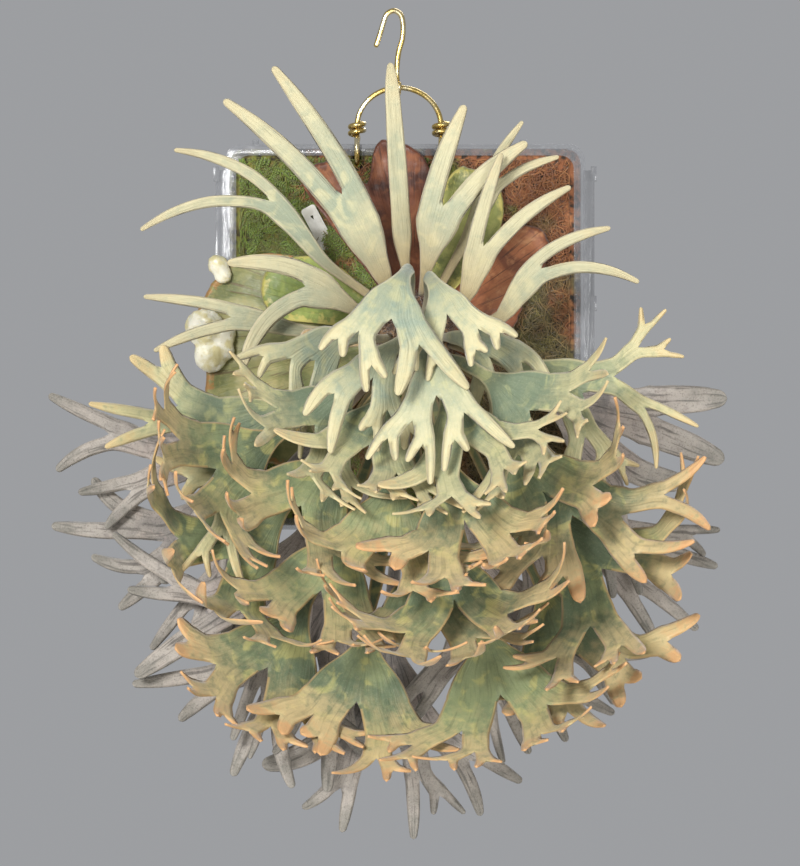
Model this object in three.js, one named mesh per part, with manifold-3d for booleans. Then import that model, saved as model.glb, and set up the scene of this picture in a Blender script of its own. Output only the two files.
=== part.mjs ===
// A staghorn fern mounted in a clear plastic tray of moss, hung by a wire bail and a wire hook.
// Millimetres, +Z up, -Y towards the viewer. The origin is the point inside the hook that the rail touches.
import * as THREE from "three";
import { mergeVertices } from "three/addons/utils/BufferGeometryUtils.js";
import Module from "manifold-3d";

const wasm = await Module();
wasm.setup();

// Driving dimensions.
const gap = 0.3; // left between pieces that touch
const tray = { width: 187, height: 200, depth: 29, wall: 2, corner: 9, centreX: 5.7, top: -68, frontY: -5 };
const rim = { width: 6, thickness: 2 };
const flange = { width: 6, thickness: 2, drop: 12, lug: [3, 5, 8], lugHeights: [86, 18, -66] };
const trayHole = { radius: 2.6, y: 3.3, sides: 10 };
const peg = { radius: 1.7, height: 2.6, xs: [-72, -62, 67], y: 2, sides: 8 };
const wire = { radius: 1.5, sides: 5 };
const bail = { left: -19.2, right: 24.4, footZ: -58.5, topZ: -38.5, steps: 88 };
const ring = { frontY: -8.3, backY: 3.4, lowZ: -79 }; // how each foot of the bail loops through the tray's lip
const wrap = { radius: 3.5, turns: 2, low: 5, rise: 6.6, points: 8 }; // how its end is wrapped round it above
const hook = { eyeRadius: 3.9, eyeX: 1.6, steps: 42 };
const crown = new THREE.Vector3(10.9, -36, -167); // middle of the rhizome, the stem that every frond grows from
const rhizome = { radius: 20, pocket: 0.9 };
const cushion = { height: 2.4, length: 8, radii: [2.9, 4.2], sides: 4 }; // the seat that each stalk stands on
const mound = { rimY: -3.2, rise: 24, flatRadius: 16, footRadius: 96 };
const moss = { cells: 12, rough: 2.4, edge: 14, seed: 5, slot: [6, 12, 14] };
const shieldSheet = {
  feet: [19.6, 25.5], thickness: 1.2, lift: 3.4, layerLift: 3.7, rows: [0, 0.3, 0.55, 0.8, 1],
};
const growth = { depth: 0.8, sunk: 0.3, lift: 1.7 }; // depth and sunk are shares of a ball's radius
const label = { size: [8, 0.8, 34], hole: 1, holeDrop: 6, place: [-37, -9.6, -116], tilt: -28 };
const bud = {
  azimuth: 190, elevation: 20, place: [-42.6, -58, -169.5], radius: 4.6, squash: [1, 0.85, 1.1],
  stalkRadius: 1.3, reach: 14,
};
const frondThickness = 1;
const stalk = { widths: [4.4, 9], pull: 0.4, steps: 5 }; // pull: how far it keeps its first and last headings
const rest = { gap: 0.7, push: 2.5, pushes: 30, swings: [0, 3, -3, 6, -6] }; // as a frond settles on the others

const radians = THREE.MathUtils.degToRad;
const down = new THREE.Vector3(0, 0, -1);

// Repeatable random numbers from 0 to 1.
function randomFrom(seed) {
  let state = seed >>> 0;
  return () => {
    state = (state + 0x6d2b79f5) >>> 0;
    let mixed = Math.imul(state ^ (state >>> 15), state | 1);
    mixed ^= mixed + Math.imul(mixed ^ (mixed >>> 7), mixed | 61);
    return ((mixed ^ (mixed >>> 14)) >>> 0) / 4294967296;
  };
}

// From 0 at low to 1 at high, with a gentle start and end.
function smooth(low, high, value) {
  const t = Math.min(1, Math.max(0, (value - low) / (high - low)));
  return t * t * (3 - 2 * t);
}

// ---- Solids ----
// A closed mesh as a solid that can be joined and cut, and back.
function solidOf(geometry) {
  const bare = geometry.clone();
  bare.deleteAttribute("normal");
  bare.deleteAttribute("uv");
  const merged = mergeVertices(bare, 1e-4);
  return new wasm.Manifold(
    new wasm.Mesh({
      numProp: 3,
      vertProperties: new Float32Array(merged.attributes.position.array),
      triVerts: new Uint32Array(merged.index.array),
    }),
  );
}

function geometryOf(solid) {
  const mesh = solid.getMesh();
  const geometry = new THREE.BufferGeometry();
  geometry.setAttribute("position", new THREE.BufferAttribute(mesh.vertProperties, 3));
  geometry.setIndex(new THREE.BufferAttribute(mesh.triVerts, 1));
  geometry.computeVertexNormals();
  return geometry;
}

function meshSolid(points, faces) {
  const geometry = new THREE.BufferGeometry();
  geometry.setAttribute("position", new THREE.BufferAttribute(new Float32Array(points.flat()), 3));
  geometry.setIndex(faces.flat());
  return solidOf(geometry);
}

function box(width, depth, height, x, y, z) {
  return solidOf(new THREE.BoxGeometry(width, depth, height).translate(x, y, z));
}

function roundedRectangle(width, height, corner) {
  const shape = new THREE.Shape();
  const x = width / 2 - corner;
  const z = height / 2 - corner;
  shape.absarc(x, z, corner, 0, Math.PI / 2);
  shape.absarc(-x, z, corner, Math.PI / 2, Math.PI);
  shape.absarc(-x, -z, corner, Math.PI, 1.5 * Math.PI);
  shape.absarc(x, -z, corner, 1.5 * Math.PI, 2 * Math.PI);
  return shape;
}

// A shape drawn in X and Z, extruded along Y from frontY.
function plateFromFront(shape, thickness, x, frontY, z) {
  const plate = new THREE.ExtrudeGeometry(shape, { depth: thickness, bevelEnabled: false, curveSegments: 4 });
  return solidOf(plate.rotateX(Math.PI / 2).translate(x, frontY + thickness, z));
}

function tube(points, steps, radius = wire.radius) {
  const section = new THREE.Shape();
  for (let i = 0; i < wire.sides; i += 1) {
    const a = (2 * Math.PI * i) / wire.sides;
    if (i === 0) section.moveTo(radius, 0);
    else section.lineTo(radius * Math.cos(a), radius * Math.sin(a));
  }
  section.closePath();
  const path = new THREE.CatmullRomCurve3(points.map((p) => new THREE.Vector3(...p)), false, "centripetal");
  return solidOf(new THREE.ExtrudeGeometry(section, { steps, extrudePath: path, bevelEnabled: false }));
}

// ---- The clear tray ----
const trayMiddleZ = tray.top - tray.height / 2;
const trayBackY = tray.frontY + tray.depth;

function makeTray() {
  const { width, height, depth, wall, corner, centreX, frontY } = tray;
  const outside = plateFromFront(roundedRectangle(width, height, corner), depth, centreX, frontY, trayMiddleZ);
  const inside = plateFromFront(
    roundedRectangle(width - 2 * wall, height - 2 * wall, corner - wall),
    depth - rim.thickness - wall, centreX, frontY + rim.thickness, trayMiddleZ,
  );
  const window = plateFromFront(
    roundedRectangle(width - 2 * rim.width, height - 2 * rim.width, corner - wall),
    rim.thickness * 3, centreX, frontY - rim.thickness, trayMiddleZ,
  );
  let body = outside.subtract(inside).subtract(window);
  for (const side of [-1, 1]) {
    const x = centreX + side * (width / 2 + flange.width / 2 - wall / 2);
    const flangeHeight = height - flange.drop;
    const z = trayMiddleZ - flange.drop / 2;
    const flangeY = trayBackY - flange.thickness / 2;
    body = body.add(box(flange.width + wall, flange.thickness, flangeHeight, x, flangeY, z));
    for (const lugHeight of flange.lugHeights) {
      const lugX = centreX + side * (width / 2 + flange.width + flange.lug[0] / 2 - wall);
      body = body.add(box(...flange.lug, lugX, trayBackY - flange.lug[1] / 2, trayMiddleZ + lugHeight));
    }
  }
  for (const x of [bail.left, bail.right]) {
    const hole = new THREE.CylinderGeometry(trayHole.radius, trayHole.radius, 3 * wall, trayHole.sides);
    body = body.subtract(solidOf(hole.rotateX(Math.PI / 2).translate(x, trayHole.y, tray.top - wall / 2)));
  }
  for (const x of peg.xs) {
    const stud = new THREE.CylinderGeometry(peg.radius, peg.radius, peg.height + wall, peg.sides);
    body = body.add(solidOf(stud.rotateX(Math.PI / 2).translate(x, peg.y, tray.top + (peg.height - wall) / 2)));
  }
  return body;
}

// ---- The moss, which fills the tray and swells out round the crown ----
function moundY(x, z) {
  const r = Math.hypot(x - crown.x, z - crown.z);
  return mound.rimY - mound.rise * (1 - smooth(mound.flatRadius, mound.footRadius, r));
}

function makeMoss() {
  const width = tray.width - 2 * tray.wall - 2 * gap;
  const height = tray.height - 2 * tray.wall - 2 * gap;
  const backY = trayBackY - tray.wall - gap;
  const underRim = tray.frontY + rim.thickness + gap;
  const random = randomFrom(moss.seed);
  const block = new THREE.BoxGeometry(width, 1, height, moss.cells, 1, moss.cells);
  const spot = block.attributes.position;
  const lift = new Map();
  for (let i = 0; i < spot.count; i += 1) {
    const x = spot.getX(i) + tray.centreX;
    const z = spot.getZ(i) + trayMiddleZ;
    const front = spot.getY(i) < 0;
    const key = `${x.toFixed(2)},${z.toFixed(2)}`;
    if (!lift.has(key)) lift.set(key, random());
    const fromEdge = Math.min(width / 2 - Math.abs(spot.getX(i)), height / 2 - Math.abs(spot.getZ(i)));
    const free = smooth(0, moss.edge, fromEdge - rim.width);
    const swollen = moundY(x, z) + moss.rough * lift.get(key);
    spot.setXYZ(i, x, front ? underRim + free * (swollen - underRim) : backY, z);
  }
  const corner = tray.corner - tray.wall;
  const outline = roundedRectangle(width, height, corner);
  const inTray = plateFromFront(outline, tray.depth, tray.centreX, underRim, trayMiddleZ);
  const frame = 2 * (rim.width + gap);
  const inWindow = plateFromFront(
    roundedRectangle(tray.width - frame, tray.height - frame, corner),
    3 * tray.depth, tray.centreX, underRim - 2 * tray.depth, trayMiddleZ,
  );
  const pocket = new THREE.IcosahedronGeometry(rhizome.radius + rhizome.pocket, 1);
  pocket.translate(...crown.toArray());
  let pad = solidOf(block).intersect(inTray.add(inWindow)).subtract(solidOf(pocket));
  for (const x of [bail.left, bail.right]) {
    pad = pad.subtract(box(...moss.slot, x, 1, tray.top - moss.slot[2] / 2)); // where the bail loops through
  }
  return pad.subtract(solidOf(labelPlate(2 * gap)));
}

// ---- Wire bail and hook ----
// From the foot of the bail: round the tray's lip, back up through its hole, then wrapped round itself.
function bailFoot(x) {
  const { frontY, backY, lowZ } = ring;
  const points = [
    [x, 0, bail.footZ], [x, 0, bail.footZ - 2.5], [x, -0.6, tray.top + 4.4], [x, frontY + 2.7, tray.top + 2.6],
    [x, frontY, tray.top - 0.6], [x, frontY, tray.top - 5], [x, frontY + 2.4, lowZ + 1.4],
    [x, frontY / 2 + backY / 2, lowZ], [x, backY - 1.6, lowZ + 1.8],
    [x, backY, tray.top - 4], [x, backY, tray.top + 1],
  ];
  const count = wrap.turns * wrap.points;
  for (let i = 0; i <= count; i += 1) {
    const a = Math.PI / 2 + (2 * Math.PI * i) / wrap.points;
    const z = tray.top + wrap.low + (wrap.rise * i) / count;
    points.push([x + wrap.radius * Math.cos(a), wrap.radius * Math.sin(a), z]);
  }
  return points;
}

function makeBail() {
  const middle = (bail.left + bail.right) / 2;
  const half = (bail.right - bail.left) / 2;
  const arc = [];
  for (let a = 165; a > 0; a -= 15) {
    const height = (bail.topZ - bail.footZ) * Math.sin(radians(a));
    arc.push([middle + half * Math.cos(radians(a)), 0, bail.footZ + height]);
  }
  return tube([...bailFoot(bail.left).reverse(), ...arc, ...bailFoot(bail.right)], bail.steps);
}

function makeHook() {
  const { eyeRadius, eyeX, steps } = hook;
  const eyeZ = bail.topZ + eyeRadius - 2 * wire.radius - gap;
  const points = [
    [-9.6, 0, -17.6], [-7.4, 0, -11], [-5.6, 0, -5], [-3.7, 0, -0.2], [0, 0, wire.radius], [3.4, 0, -0.6],
    [4.7, 0, -6], [4.3, 0, -13], [2.4, 0, -20], [eyeX - 0.2, 0.4, eyeZ + eyeRadius + 4],
  ];
  for (let a = 60; a >= -215; a -= 27.5) {
    const [y, z] = [eyeRadius * Math.cos(radians(a)), eyeRadius * Math.sin(radians(a))];
    points.push([eyeX + (60 - a) / 275, y, eyeZ + z]);
  }
  return tube(points, steps);
}

// ---- Antler fronds ----
// A frond grows as a flat strap that is carried forward step by step. It droops under its own weight,
// curls towards its upper face, and forks in two, and in two again, down to its pointed lobes.
class Tip {
  constructor(place, ahead, upper) {
    Object.assign(this, { place, ahead, upper });
  }

  get side() {
    return this.ahead.clone().cross(this.upper);
  }

  rotate(axis, angle) {
    this.ahead.applyAxisAngle(axis, angle).normalize();
    this.upper.applyAxisAngle(axis, angle);
    this.upper.addScaledVector(this.ahead, -this.upper.dot(this.ahead)).normalize();
  }

  // One step of growth. droop is in radians for each millimetre, and curl and turn in degrees.
  step(length, droop, curl, turn) {
    const axis = this.ahead.clone().cross(down);
    const slope = Math.min(1, axis.length());
    if (slope > 1e-6) this.rotate(axis.normalize(), Math.min(droop * slope * length, Math.asin(slope)));
    this.rotate(this.side, radians(curl));
    this.rotate(this.upper, radians(-turn));
    this.place.addScaledVector(this.ahead, length);
  }
}

// The crown's middle, with a heading: azimuth 0 right, 90 up, 180 left, 270 down, and rise towards the viewer.
function heading(azimuth, rise) {
  const [a, e] = [radians(azimuth), radians(rise)];
  const ahead = new THREE.Vector3(Math.cos(a) * Math.cos(e), -Math.sin(e), Math.sin(a) * Math.cos(e));
  const upper = new THREE.Vector3(-Math.cos(a) * Math.sin(e), -Math.cos(e), -Math.sin(a) * Math.sin(e));
  return new Tip(crown.clone(), ahead, upper);
}

// Where a stalk stands on its cushion.
function seatOf({ azimuth, elevation }) {
  const seat = heading(azimuth, elevation);
  seat.place.addScaledVector(seat.ahead, rhizome.radius + cushion.height + gap);
  return seat;
}

// By the number of times that a frond forks: shares of its size for its blade and for its last lobes.
const bladeShares = [1, 0.24, 0.3, 0.3];
const lastShares = [0, 0.76, 0.46, 0.32];
const lobeShape = {
  share: 0.17, early: 0.25, earlyLength: 1.2, widen: 1.12, bend: 12, lastBend: 42, inwardBend: 0.4, vary: 0.25,
};
const openings = [1, 0.85, 0.7]; // how far lobes open at each fork, as shares of the frond's spread
const lean = { out: 1.05, inward: 0.65 }; // the lobe on the frond's outer side opens further

// The lobes of one frond as a tree: each has the turn, length and end width that it grows with, and 0 or 2
// lobes of its own.
// outward is -1 or 1 for lobes on one side of the frond's middle, which open away from it.
function antlerTree({ seed, forks, size, width, spread, curl, sweep, wild, point }) {
  const random = randomFrom(seed);
  const vary = (middle, share) => middle * (1 + share * (2 * random() - 1));
  const grow = (level, turn, outward, startWidth) => {
    const last = level >= forks || (level > 1 && random() < lobeShape.early);
    const share = last ? lastShares[forks] * (level < forks ? lobeShape.earlyLength : 1) : lobeShape.share;
    const length = vary(share, lobeShape.vary * wild) * size;
    const endWidth = last ? point * startWidth : vary(lobeShape.widen, 0.1) * startWidth;
    const drawnBend = (last ? lobeShape.lastBend : lobeShape.bend) * wild * (2 * random() - 1);
    const ownBend = drawnBend * (drawnBend * turn < 0 ? lobeShape.inwardBend : 1); // or it would cross its twin
    const bend = ownBend + sweep * (last ? 1 : 0.4);
    const ownCurl = vary((last ? 1 : 0.4) * curl, 0.4 * wild);
    const lobe = { turn, bend, length, endWidth, curl: ownCurl, lobes: [] };
    if (last) return lobe;
    const open = spread * openings[level];
    const turns = [-1, 1].map((k) => k * vary(open * (k === outward ? lean.out : lean.inward), 0.25 * wild));
    lobe.lobes = turns.map((t) => grow(level + 1, t, outward, endWidth / 2));
    return lobe;
  };
  const length = bladeShares[forks] * size;
  const blade = { turn: 0, bend: 0, length, endWidth: width, curl: 0.15 * curl, lobes: [] };
  if (forks === 0) return { ...blade, endWidth: 3, curl, bend: sweep };
  blade.lobes = [-1, 1].map((k) => grow(1, k * vary(spread, 0.15 * wild), k, width / 2));
  return blade;
}

// How a lobe widens or narrows along its length: pairs of a share of the length and of the change in width.
const bladeProfile = [[0.3, 0.25], [0.65, 0.7], [1, 1]];
const forkedProfiles = [[[0.5, 0.1], [1, 1]], [[1, 1]]]; // after the first fork, and after the second
const tipProfile = [[0.35, 0.4], [0.75, 0.7], [1, 1]];
const strapProfile = [[0.2, -0.1], [0.45, -0.1], [0.7, 0.1], [0.9, 0.45], [1, 1]];

// Rows of points across the strap, and the faces between them. share says how far a row moves when the blade is
// pushed towards the viewer: not at all at the crown, and fully from the end of the stalk on.
function frondMesh(frond) {
  const points = [];
  const shares = [];
  const faces = [];
  const row = (tip, offsets, share) => {
    const top = [];
    const bottom = [];
    for (const offset of offsets) {
      for (const [list, height] of [[top, 0.5], [bottom, -0.5]]) {
        const p = tip.place.clone().addScaledVector(tip.side, offset);
        p.addScaledVector(tip.upper, height * frondThickness);
        list.push(points.push(p) - 1);
        shares.push(share);
      }
    }
    return { top, bottom };
  };
  const quad = (a, b, c, d) => faces.push([a, b, c], [a, c, d]);
  const join = (a, b) => {
    if (b.top.length === 3) {
      const [[a0, a1], [b0, b1, b2]] = [a.top, b.top];
      faces.push([a0, a1, b1], [a1, b2, b1], [a0, b1, b0]);
      const [[c0, c1], [d0, d1, d2]] = [a.bottom, b.bottom];
      faces.push([c1, c0, d1], [d2, c1, d1], [d1, c0, d0]);
    } else {
      faces.push([a.top[0], a.top[1], b.top[1]], [a.top[0], b.top[1], b.top[0]]);
      faces.push([a.bottom[1], a.bottom[0], b.bottom[1]], [b.bottom[1], a.bottom[0], b.bottom[0]]);
    }
    quad(a.top.at(-1), a.bottom.at(-1), b.bottom.at(-1), b.top.at(-1));
    quad(a.bottom[0], a.top[0], b.top[0], b.bottom[0]);
  };
  const middleOf = ({ top, bottom }) => {
    const sum = new THREE.Vector3();
    for (const i of [...top, ...bottom]) sum.add(points[i]);
    return sum.divideScalar(2 * top.length);
  };
  const growLobe = (tip, lobe, firstRow, firstWidth, profile, level) => {
    const forked = lobe.lobes.length > 0;
    let last = firstRow;
    let grown = 0;
    tip.rotate(tip.upper, radians(-0.5 * lobe.turn));
    for (const [share, change] of profile) {
      const step = share - grown;
      tip.step(lobe.length * step, frond.droop, lobe.curl * step, (0.5 * lobe.turn + lobe.bend) * step);
      const half = (firstWidth + (lobe.endWidth - firstWidth) * change) / 2;
      const next = row(tip, forked && share === 1 ? [-half, 0, half] : [-half, half], 1);
      join(last, next);
      last = next;
      grown = share;
    }
    if (!forked) {
      quad(last.top[0], last.top[1], last.bottom[1], last.bottom[0]);
      return;
    }
    lobe.lobes.forEach((child, k) => {
      const start = { top: last.top.slice(k, k + 2), bottom: last.bottom.slice(k, k + 2) };
      const childTip = new Tip(middleOf(start), tip.ahead.clone(), tip.upper.clone());
      const childProfile = child.lobes.length ? forkedProfiles[level] : tipProfile;
      growLobe(childTip, child, start, lobe.endWidth / 2, childProfile, level + 1);
    });
  };
  const seat = seatOf(frond);
  const direction = frond.azimuth + frond.swing;
  const blade = heading(direction + frond.turn, frond.lean);
  const a = radians(direction);
  blade.place.add(new THREE.Vector3(frond.reach * Math.cos(a), -frond.depth, frond.reach * Math.sin(a)));
  const pull = stalk.pull * seat.place.distanceTo(blade.place);
  const path = new THREE.CubicBezierCurve3(
    seat.place, seat.place.clone().addScaledVector(seat.ahead, pull),
    blade.place.clone().addScaledVector(blade.ahead, -pull), blade.place,
  );
  const [startWidth, endWidth] = stalk.widths;
  let last = row(seat, [-startWidth / 2, startWidth / 2], 0);
  quad(last.bottom[0], last.bottom[1], last.top[1], last.top[0]);
  for (let i = 1; i <= stalk.steps; i += 1) {
    const t = i / stalk.steps;
    const upper = seat.upper.clone().lerp(blade.upper, smooth(0, 1, t));
    const tip = new Tip(path.getPoint(t), path.getTangent(t), upper);
    tip.rotate(tip.ahead, 0);
    const half = (startWidth + (endWidth - startWidth) * t ** 3) / 2;
    const next = row(tip, [-half, half], smooth(0, 1, t));
    join(last, next);
    last = next;
  }
  growLobe(blade, antlerTree(frond), last, endWidth, frond.forks ? bladeProfile : strapProfile, 0);
  return { points, shares, faces };
}

function frondSolid({ points, shares, faces }, push) {
  return meshSolid(points.map((p, i) => [p.x, p.y - push * shares[i], p.z]), faces);
}

function near(a, b, reach) {
  const [p, q] = [a.boundingBox(), b.boundingBox()];
  return [0, 1, 2].every((i) => p.min[i] - reach < q.max[i] && q.min[i] - reach < p.max[i]);
}

// A frond comes to rest among those behind it: its blade swings a little to either side, and stands off towards
// the viewer, until it clears them all.
function settle(frond, placed) {
  const meshes = rest.swings.map((swing) => frondMesh({ ...frond, swing }));
  for (let i = 0; i < rest.pushes; i += 1) {
    for (const mesh of meshes) {
      const solid = frondSolid(mesh, i * rest.push);
      const touches = (other) => near(solid, other, rest.gap) && solid.minGap(other, rest.gap) < rest.gap;
      if (!placed.some(touches)) return solid;
    }
  }
  throw new Error(`frond ${frond.name} finds no room`);
}

// The fronds, from the back of the plant to its front, in tiers that share settings.
// Of each: azimuth and elevation of its seat on the crown, how far from the crown its blade starts, seen from
// the front and towards the viewer, the length of the blade with its lobes, and settings of its own.
const frondDefaults = {
  width: 48, spread: 30, forks: 3, curl: 45, lean: 15, droop: 0, point: 0.34, wild: 1, turn: 0, sweep: 0,
};
const tiers = {
  // The oldest, grey ones, against the tray.
  old: [{ color: 0x8b8578, width: 50, spread: 22, curl: 12, lean: 3, point: 0.46 }, [
    [215, -2, 88, -6, 108],
    [227, 6, 104, -8, 116],
    [238, -2, 118, -6, 120],
    [250, 8, 132, -2, 120],
    [265, 0, 156, -4, 108],
    [286, 4, 118, -4, 104],
    [305, 0, 96, -4, 112],
    [330, 3, 78, -6, 106],
  ]],
  // The great hanging ones, tier upon tier.
  low: [{ color: 0x848a62, curl: 36, width: 52 }, [
    [248, 22, 152, 34, 96, { turn: -10, wild: 0.5 }],
    [264, 17, 156, 30, 92],
    [280, 22, 154, 34, 92],
    [296, 17, 146, 34, 96],
  ]],
  under: [{ color: 0x848a62 }, [
    [233, 30, 112, 48, 108, { turn: -10 }],
    [250, 36, 106, 56, 94],
    [267, 31, 110, 54, 90],
    [284, 36, 106, 56, 92],
    [303, 30, 114, 48, 112, { turn: 8 }],
  ]],
  middle: [{ color: 0x8c946c }, [
    [322, 38, 88, 70, 98, { turn: -22, curl: 24 }],
    [220, 44, 88, 60, 98, { turn: -8 }],
    [240, 49, 74, 74, 86],
    [262, 45, 76, 76, 82],
    [284, 49, 72, 78, 82],
    [305, 47, 76, 84, 86, { wild: 0.8 }],
  ]],
  upper: [{ color: 0x9aa37c, curl: 30, lean: 30, droop: 0.006, width: 40 }, [
    [206, 34, 72, 42, 104, { turn: -7, curl: 16, sweep: 10, lean: 12, droop: 0 }],
    [222, 60, 44, 80, 78],
    [253, 63, 38, 88, 74],
    [288, 63, 38, 86, 74],
    [320, 60, 44, 92, 78],
    [342, 36, 60, 48, 92, { turn: 4, curl: -6, width: 30, droop: 0.01 }],
  ]],
  young: [{ color: 0xb9bb98, width: 28, curl: 0, lean: 42, droop: 0.03, forks: 2 }, [
    [192, 56, 34, 58, 66],
    [226, 76, 16, 72, 62],
    [292, 76, 14, 74, 62],
    [350, 60, 24, 60, 62],
    [100, 60, 24, 72, 60, { turn: 138, width: 32 }],
    [64, 62, 22, 76, 54, { turn: -122, width: 26 }],
  ]],
  // The upright ones.
  upright: [{ color: 0xd0c8a0, lean: 10, forks: 1, curl: 0, spread: 8, width: 22, wild: 0.4 }, [
    [120, 28, 32, 22, 122, { turn: -7, sweep: -8, spread: 6, wild: 0, droop: 0.004 }],
    [98, 12, 46, 12, 92, { turn: -4, forks: 0 }],
    [80, 30, 38, 24, 76, { turn: -4, spread: 9, sweep: 24 }],
    [62, 12, 68, 16, 54, { turn: 4, spread: 16, width: 11, sweep: 34 }],
    [38, 30, 34, 24, 74, { turn: 36, spread: 14, width: 16, sweep: 16, droop: 0.008 }],
    [14, 14, 48, 18, 76, { turn: 44, spread: 10, width: 14, sweep: 30, droop: 0.008 }],
    [140, 12, 72, 16, 92, { turn: -14, spread: 20, width: 13, wild: 0.6, sweep: -28, droop: 0.009 }],
    [158, 30, 38, 28, 66, { turn: -10, spread: 22, width: 20, sweep: -40, droop: 0.01 }],
    [177, 14, 70, 18, 74, { turn: -14, spread: 14, width: 13, wild: 1, droop: 0.008 }],
  ]],
};
const fronds = Object.entries(tiers).flatMap(([tier, [shared, rows]], t) => rows.map((row, i) => {
  const [azimuth, elevation, reach, depth, size, own] = row;
  const place = { azimuth, elevation, reach, depth, size };
  return { ...frondDefaults, ...shared, name: `${tier}_${i + 1}`, seed: 100 * t + i, ...place, ...own };
}));

// ---- The rhizome, with a cushion for each stalk ----
function makeRhizome() {
  let body = solidOf(new THREE.IcosahedronGeometry(rhizome.radius, 1).translate(...crown.toArray()));
  for (const { azimuth, elevation } of [...fronds, bud]) {
    const { ahead } = heading(azimuth, elevation);
    const stub = new THREE.CylinderGeometry(...cushion.radii, cushion.length, cushion.sides);
    stub.applyQuaternion(new THREE.Quaternion().setFromUnitVectors(new THREE.Vector3(0, 1, 0), ahead));
    const reach = rhizome.radius + cushion.height - cushion.length / 2;
    body = body.add(solidOf(stub.translate(...crown.clone().addScaledVector(ahead, reach).toArray())));
  }
  return body;
}

// ---- Shield fronds, which clasp the moss round the crown ----
// outline: pairs of azimuth and reach from the crown. layer: 0 for a sheet on the moss, 1 for one over another.
const shields = {
  brown_top: {
    outline: [
      [58, 70], [70, 92], [81, 80], [90, 97], [99, 103], [108, 84], [117, 102], [122, 103], [125.5, 72],
    ],
    layer: 0, wave: 2, seed: 201, color: 0x6a3a22,
  },
  brown_right: {
    outline: [[-14, 40], [3, 51], [18, 60], [30, 80], [38, 86], [48, 78], [57, 66]],
    layer: 0, wave: 2, seed: 202, color: 0x9a5c3c,
  },
  green_right: {
    outline: [[48, 60], [56, 82], [64, 93], [72, 92], [80, 76]],
    layer: 1, wave: 1.2, seed: 203, color: 0x86905a,
  },
  green_left: {
    outline: [
      [144, 64], [153, 92], [163, 107], [172, 113], [181, 116], [190, 111], [199, 115], [210, 114], [220, 104],
      [230, 84],
    ],
    layer: 0, wave: 0.8, seed: 204, color: 0x8e8a5c,
  },
  green_young: {
    outline: [[138, 50], [144, 70], [151, 79], [159, 85], [167, 82], [174, 66]],
    layer: 1, wave: 0.9, seed: 205, color: 0x86a045,
  },
};

function shieldY(x, z, layer) {
  return moundY(x, z) - shieldSheet.lift - shieldSheet.layerLift * layer;
}

function makeShield({ outline, layer, wave, seed }) {
  const { feet, thickness, rows } = shieldSheet;
  const random = randomFrom(seed);
  const points = [];
  for (const [azimuth, reach] of outline) {
    const ripple = wave * random();
    const a = radians(azimuth);
    for (const share of rows) {
      const r = feet[layer] + (reach - feet[layer]) * share;
      const [x, z] = [crown.x + r * Math.cos(a), crown.z + r * Math.sin(a)];
      const y = shieldY(x, z, layer) - ripple * share;
      points.push([x, y - thickness / 2, z], [x, y + thickness / 2, z]);
    }
  }
  const faces = [];
  const at = (i, k, face) => 2 * (i * rows.length + k) + face;
  const quad = (a, b, c, d) => faces.push([a, b, c], [a, c, d]);
  const [lastColumn, lastRow] = [outline.length - 1, rows.length - 1];
  for (let i = 0; i < lastColumn; i += 1) {
    for (let k = 0; k < lastRow; k += 1) {
      quad(at(i, k, 0), at(i, k + 1, 0), at(i + 1, k + 1, 0), at(i + 1, k, 0));
      quad(at(i + 1, k + 1, 1), at(i, k + 1, 1), at(i, k, 1), at(i + 1, k, 1));
    }
    quad(at(i, 0, 1), at(i, 0, 0), at(i + 1, 0, 0), at(i + 1, 0, 1));
    quad(at(i, lastRow, 0), at(i, lastRow, 1), at(i + 1, lastRow, 1), at(i + 1, lastRow, 0));
  }
  for (let k = 0; k < lastRow; k += 1) {
    quad(at(0, k, 0), at(0, k, 1), at(0, k + 1, 1), at(0, k + 1, 0));
    quad(at(lastColumn, k, 1), at(lastColumn, k, 0), at(lastColumn, k + 1, 0), at(lastColumn, k + 1, 1));
  }
  return meshSolid(points, faces);
}

// White, swollen new growth on the rim of the left shield: balls run together, flat where they lie on it.
// Of each ball: X, Z and radius.
const growths = {
  large: [[-98, -163.5, 10.5], [-89, -167, 7.5], [-95, -178, 9], [-88.5, -175, 6.5]],
  small: [[-91, -131, 5.6], [-88.6, -136, 5]],
};

function makeGrowth(balls) {
  const solids = balls.map(([x, z, radius]) => {
    const restY = shieldY(x, z, 0) - growth.lift;
    const middleY = restY - growth.sunk * radius;
    const ball = new THREE.IcosahedronGeometry(radius, 1).scale(1, growth.depth, 1).translate(x, middleY, z);
    const spot = ball.attributes.position;
    for (let i = 0; i < spot.count; i += 1) spot.setY(i, Math.min(spot.getY(i), restY));
    return solidOf(ball);
  });
  return solids.reduce((body, ball) => body.add(ball));
}

// ---- The bare plant label, pushed into the moss ----
function labelPlate(extra) {
  const plate = new THREE.BoxGeometry(...label.size.map((length) => length + extra));
  return plate.rotateY(radians(label.tilt)).translate(...label.place);
}

function makeLabel() {
  const { size, hole, holeDrop, place, tilt } = label;
  const drill = new THREE.CylinderGeometry(hole, hole, 6 * size[1], 8).translate(0, 0, size[2] / 2 - holeDrop);
  return solidOf(labelPlate(0)).subtract(solidOf(drill.rotateY(radians(tilt)).translate(...place)));
}

// ---- The bud of a new frond on its bare stalk ----
function makeBud() {
  const { place, radius, squash, stalkRadius, reach } = bud;
  const seat = seatOf(bud);
  const bend = seat.place.clone().addScaledVector(seat.ahead, reach);
  const stem = tube([seat.place.toArray(), bend.toArray(), place], 6, stalkRadius);
  return stem.add(solidOf(new THREE.IcosahedronGeometry(radius, 1).scale(...squash).translate(...place)));
}

// ---- The whole plant on its mount ----
const fern = new THREE.Group();

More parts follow.
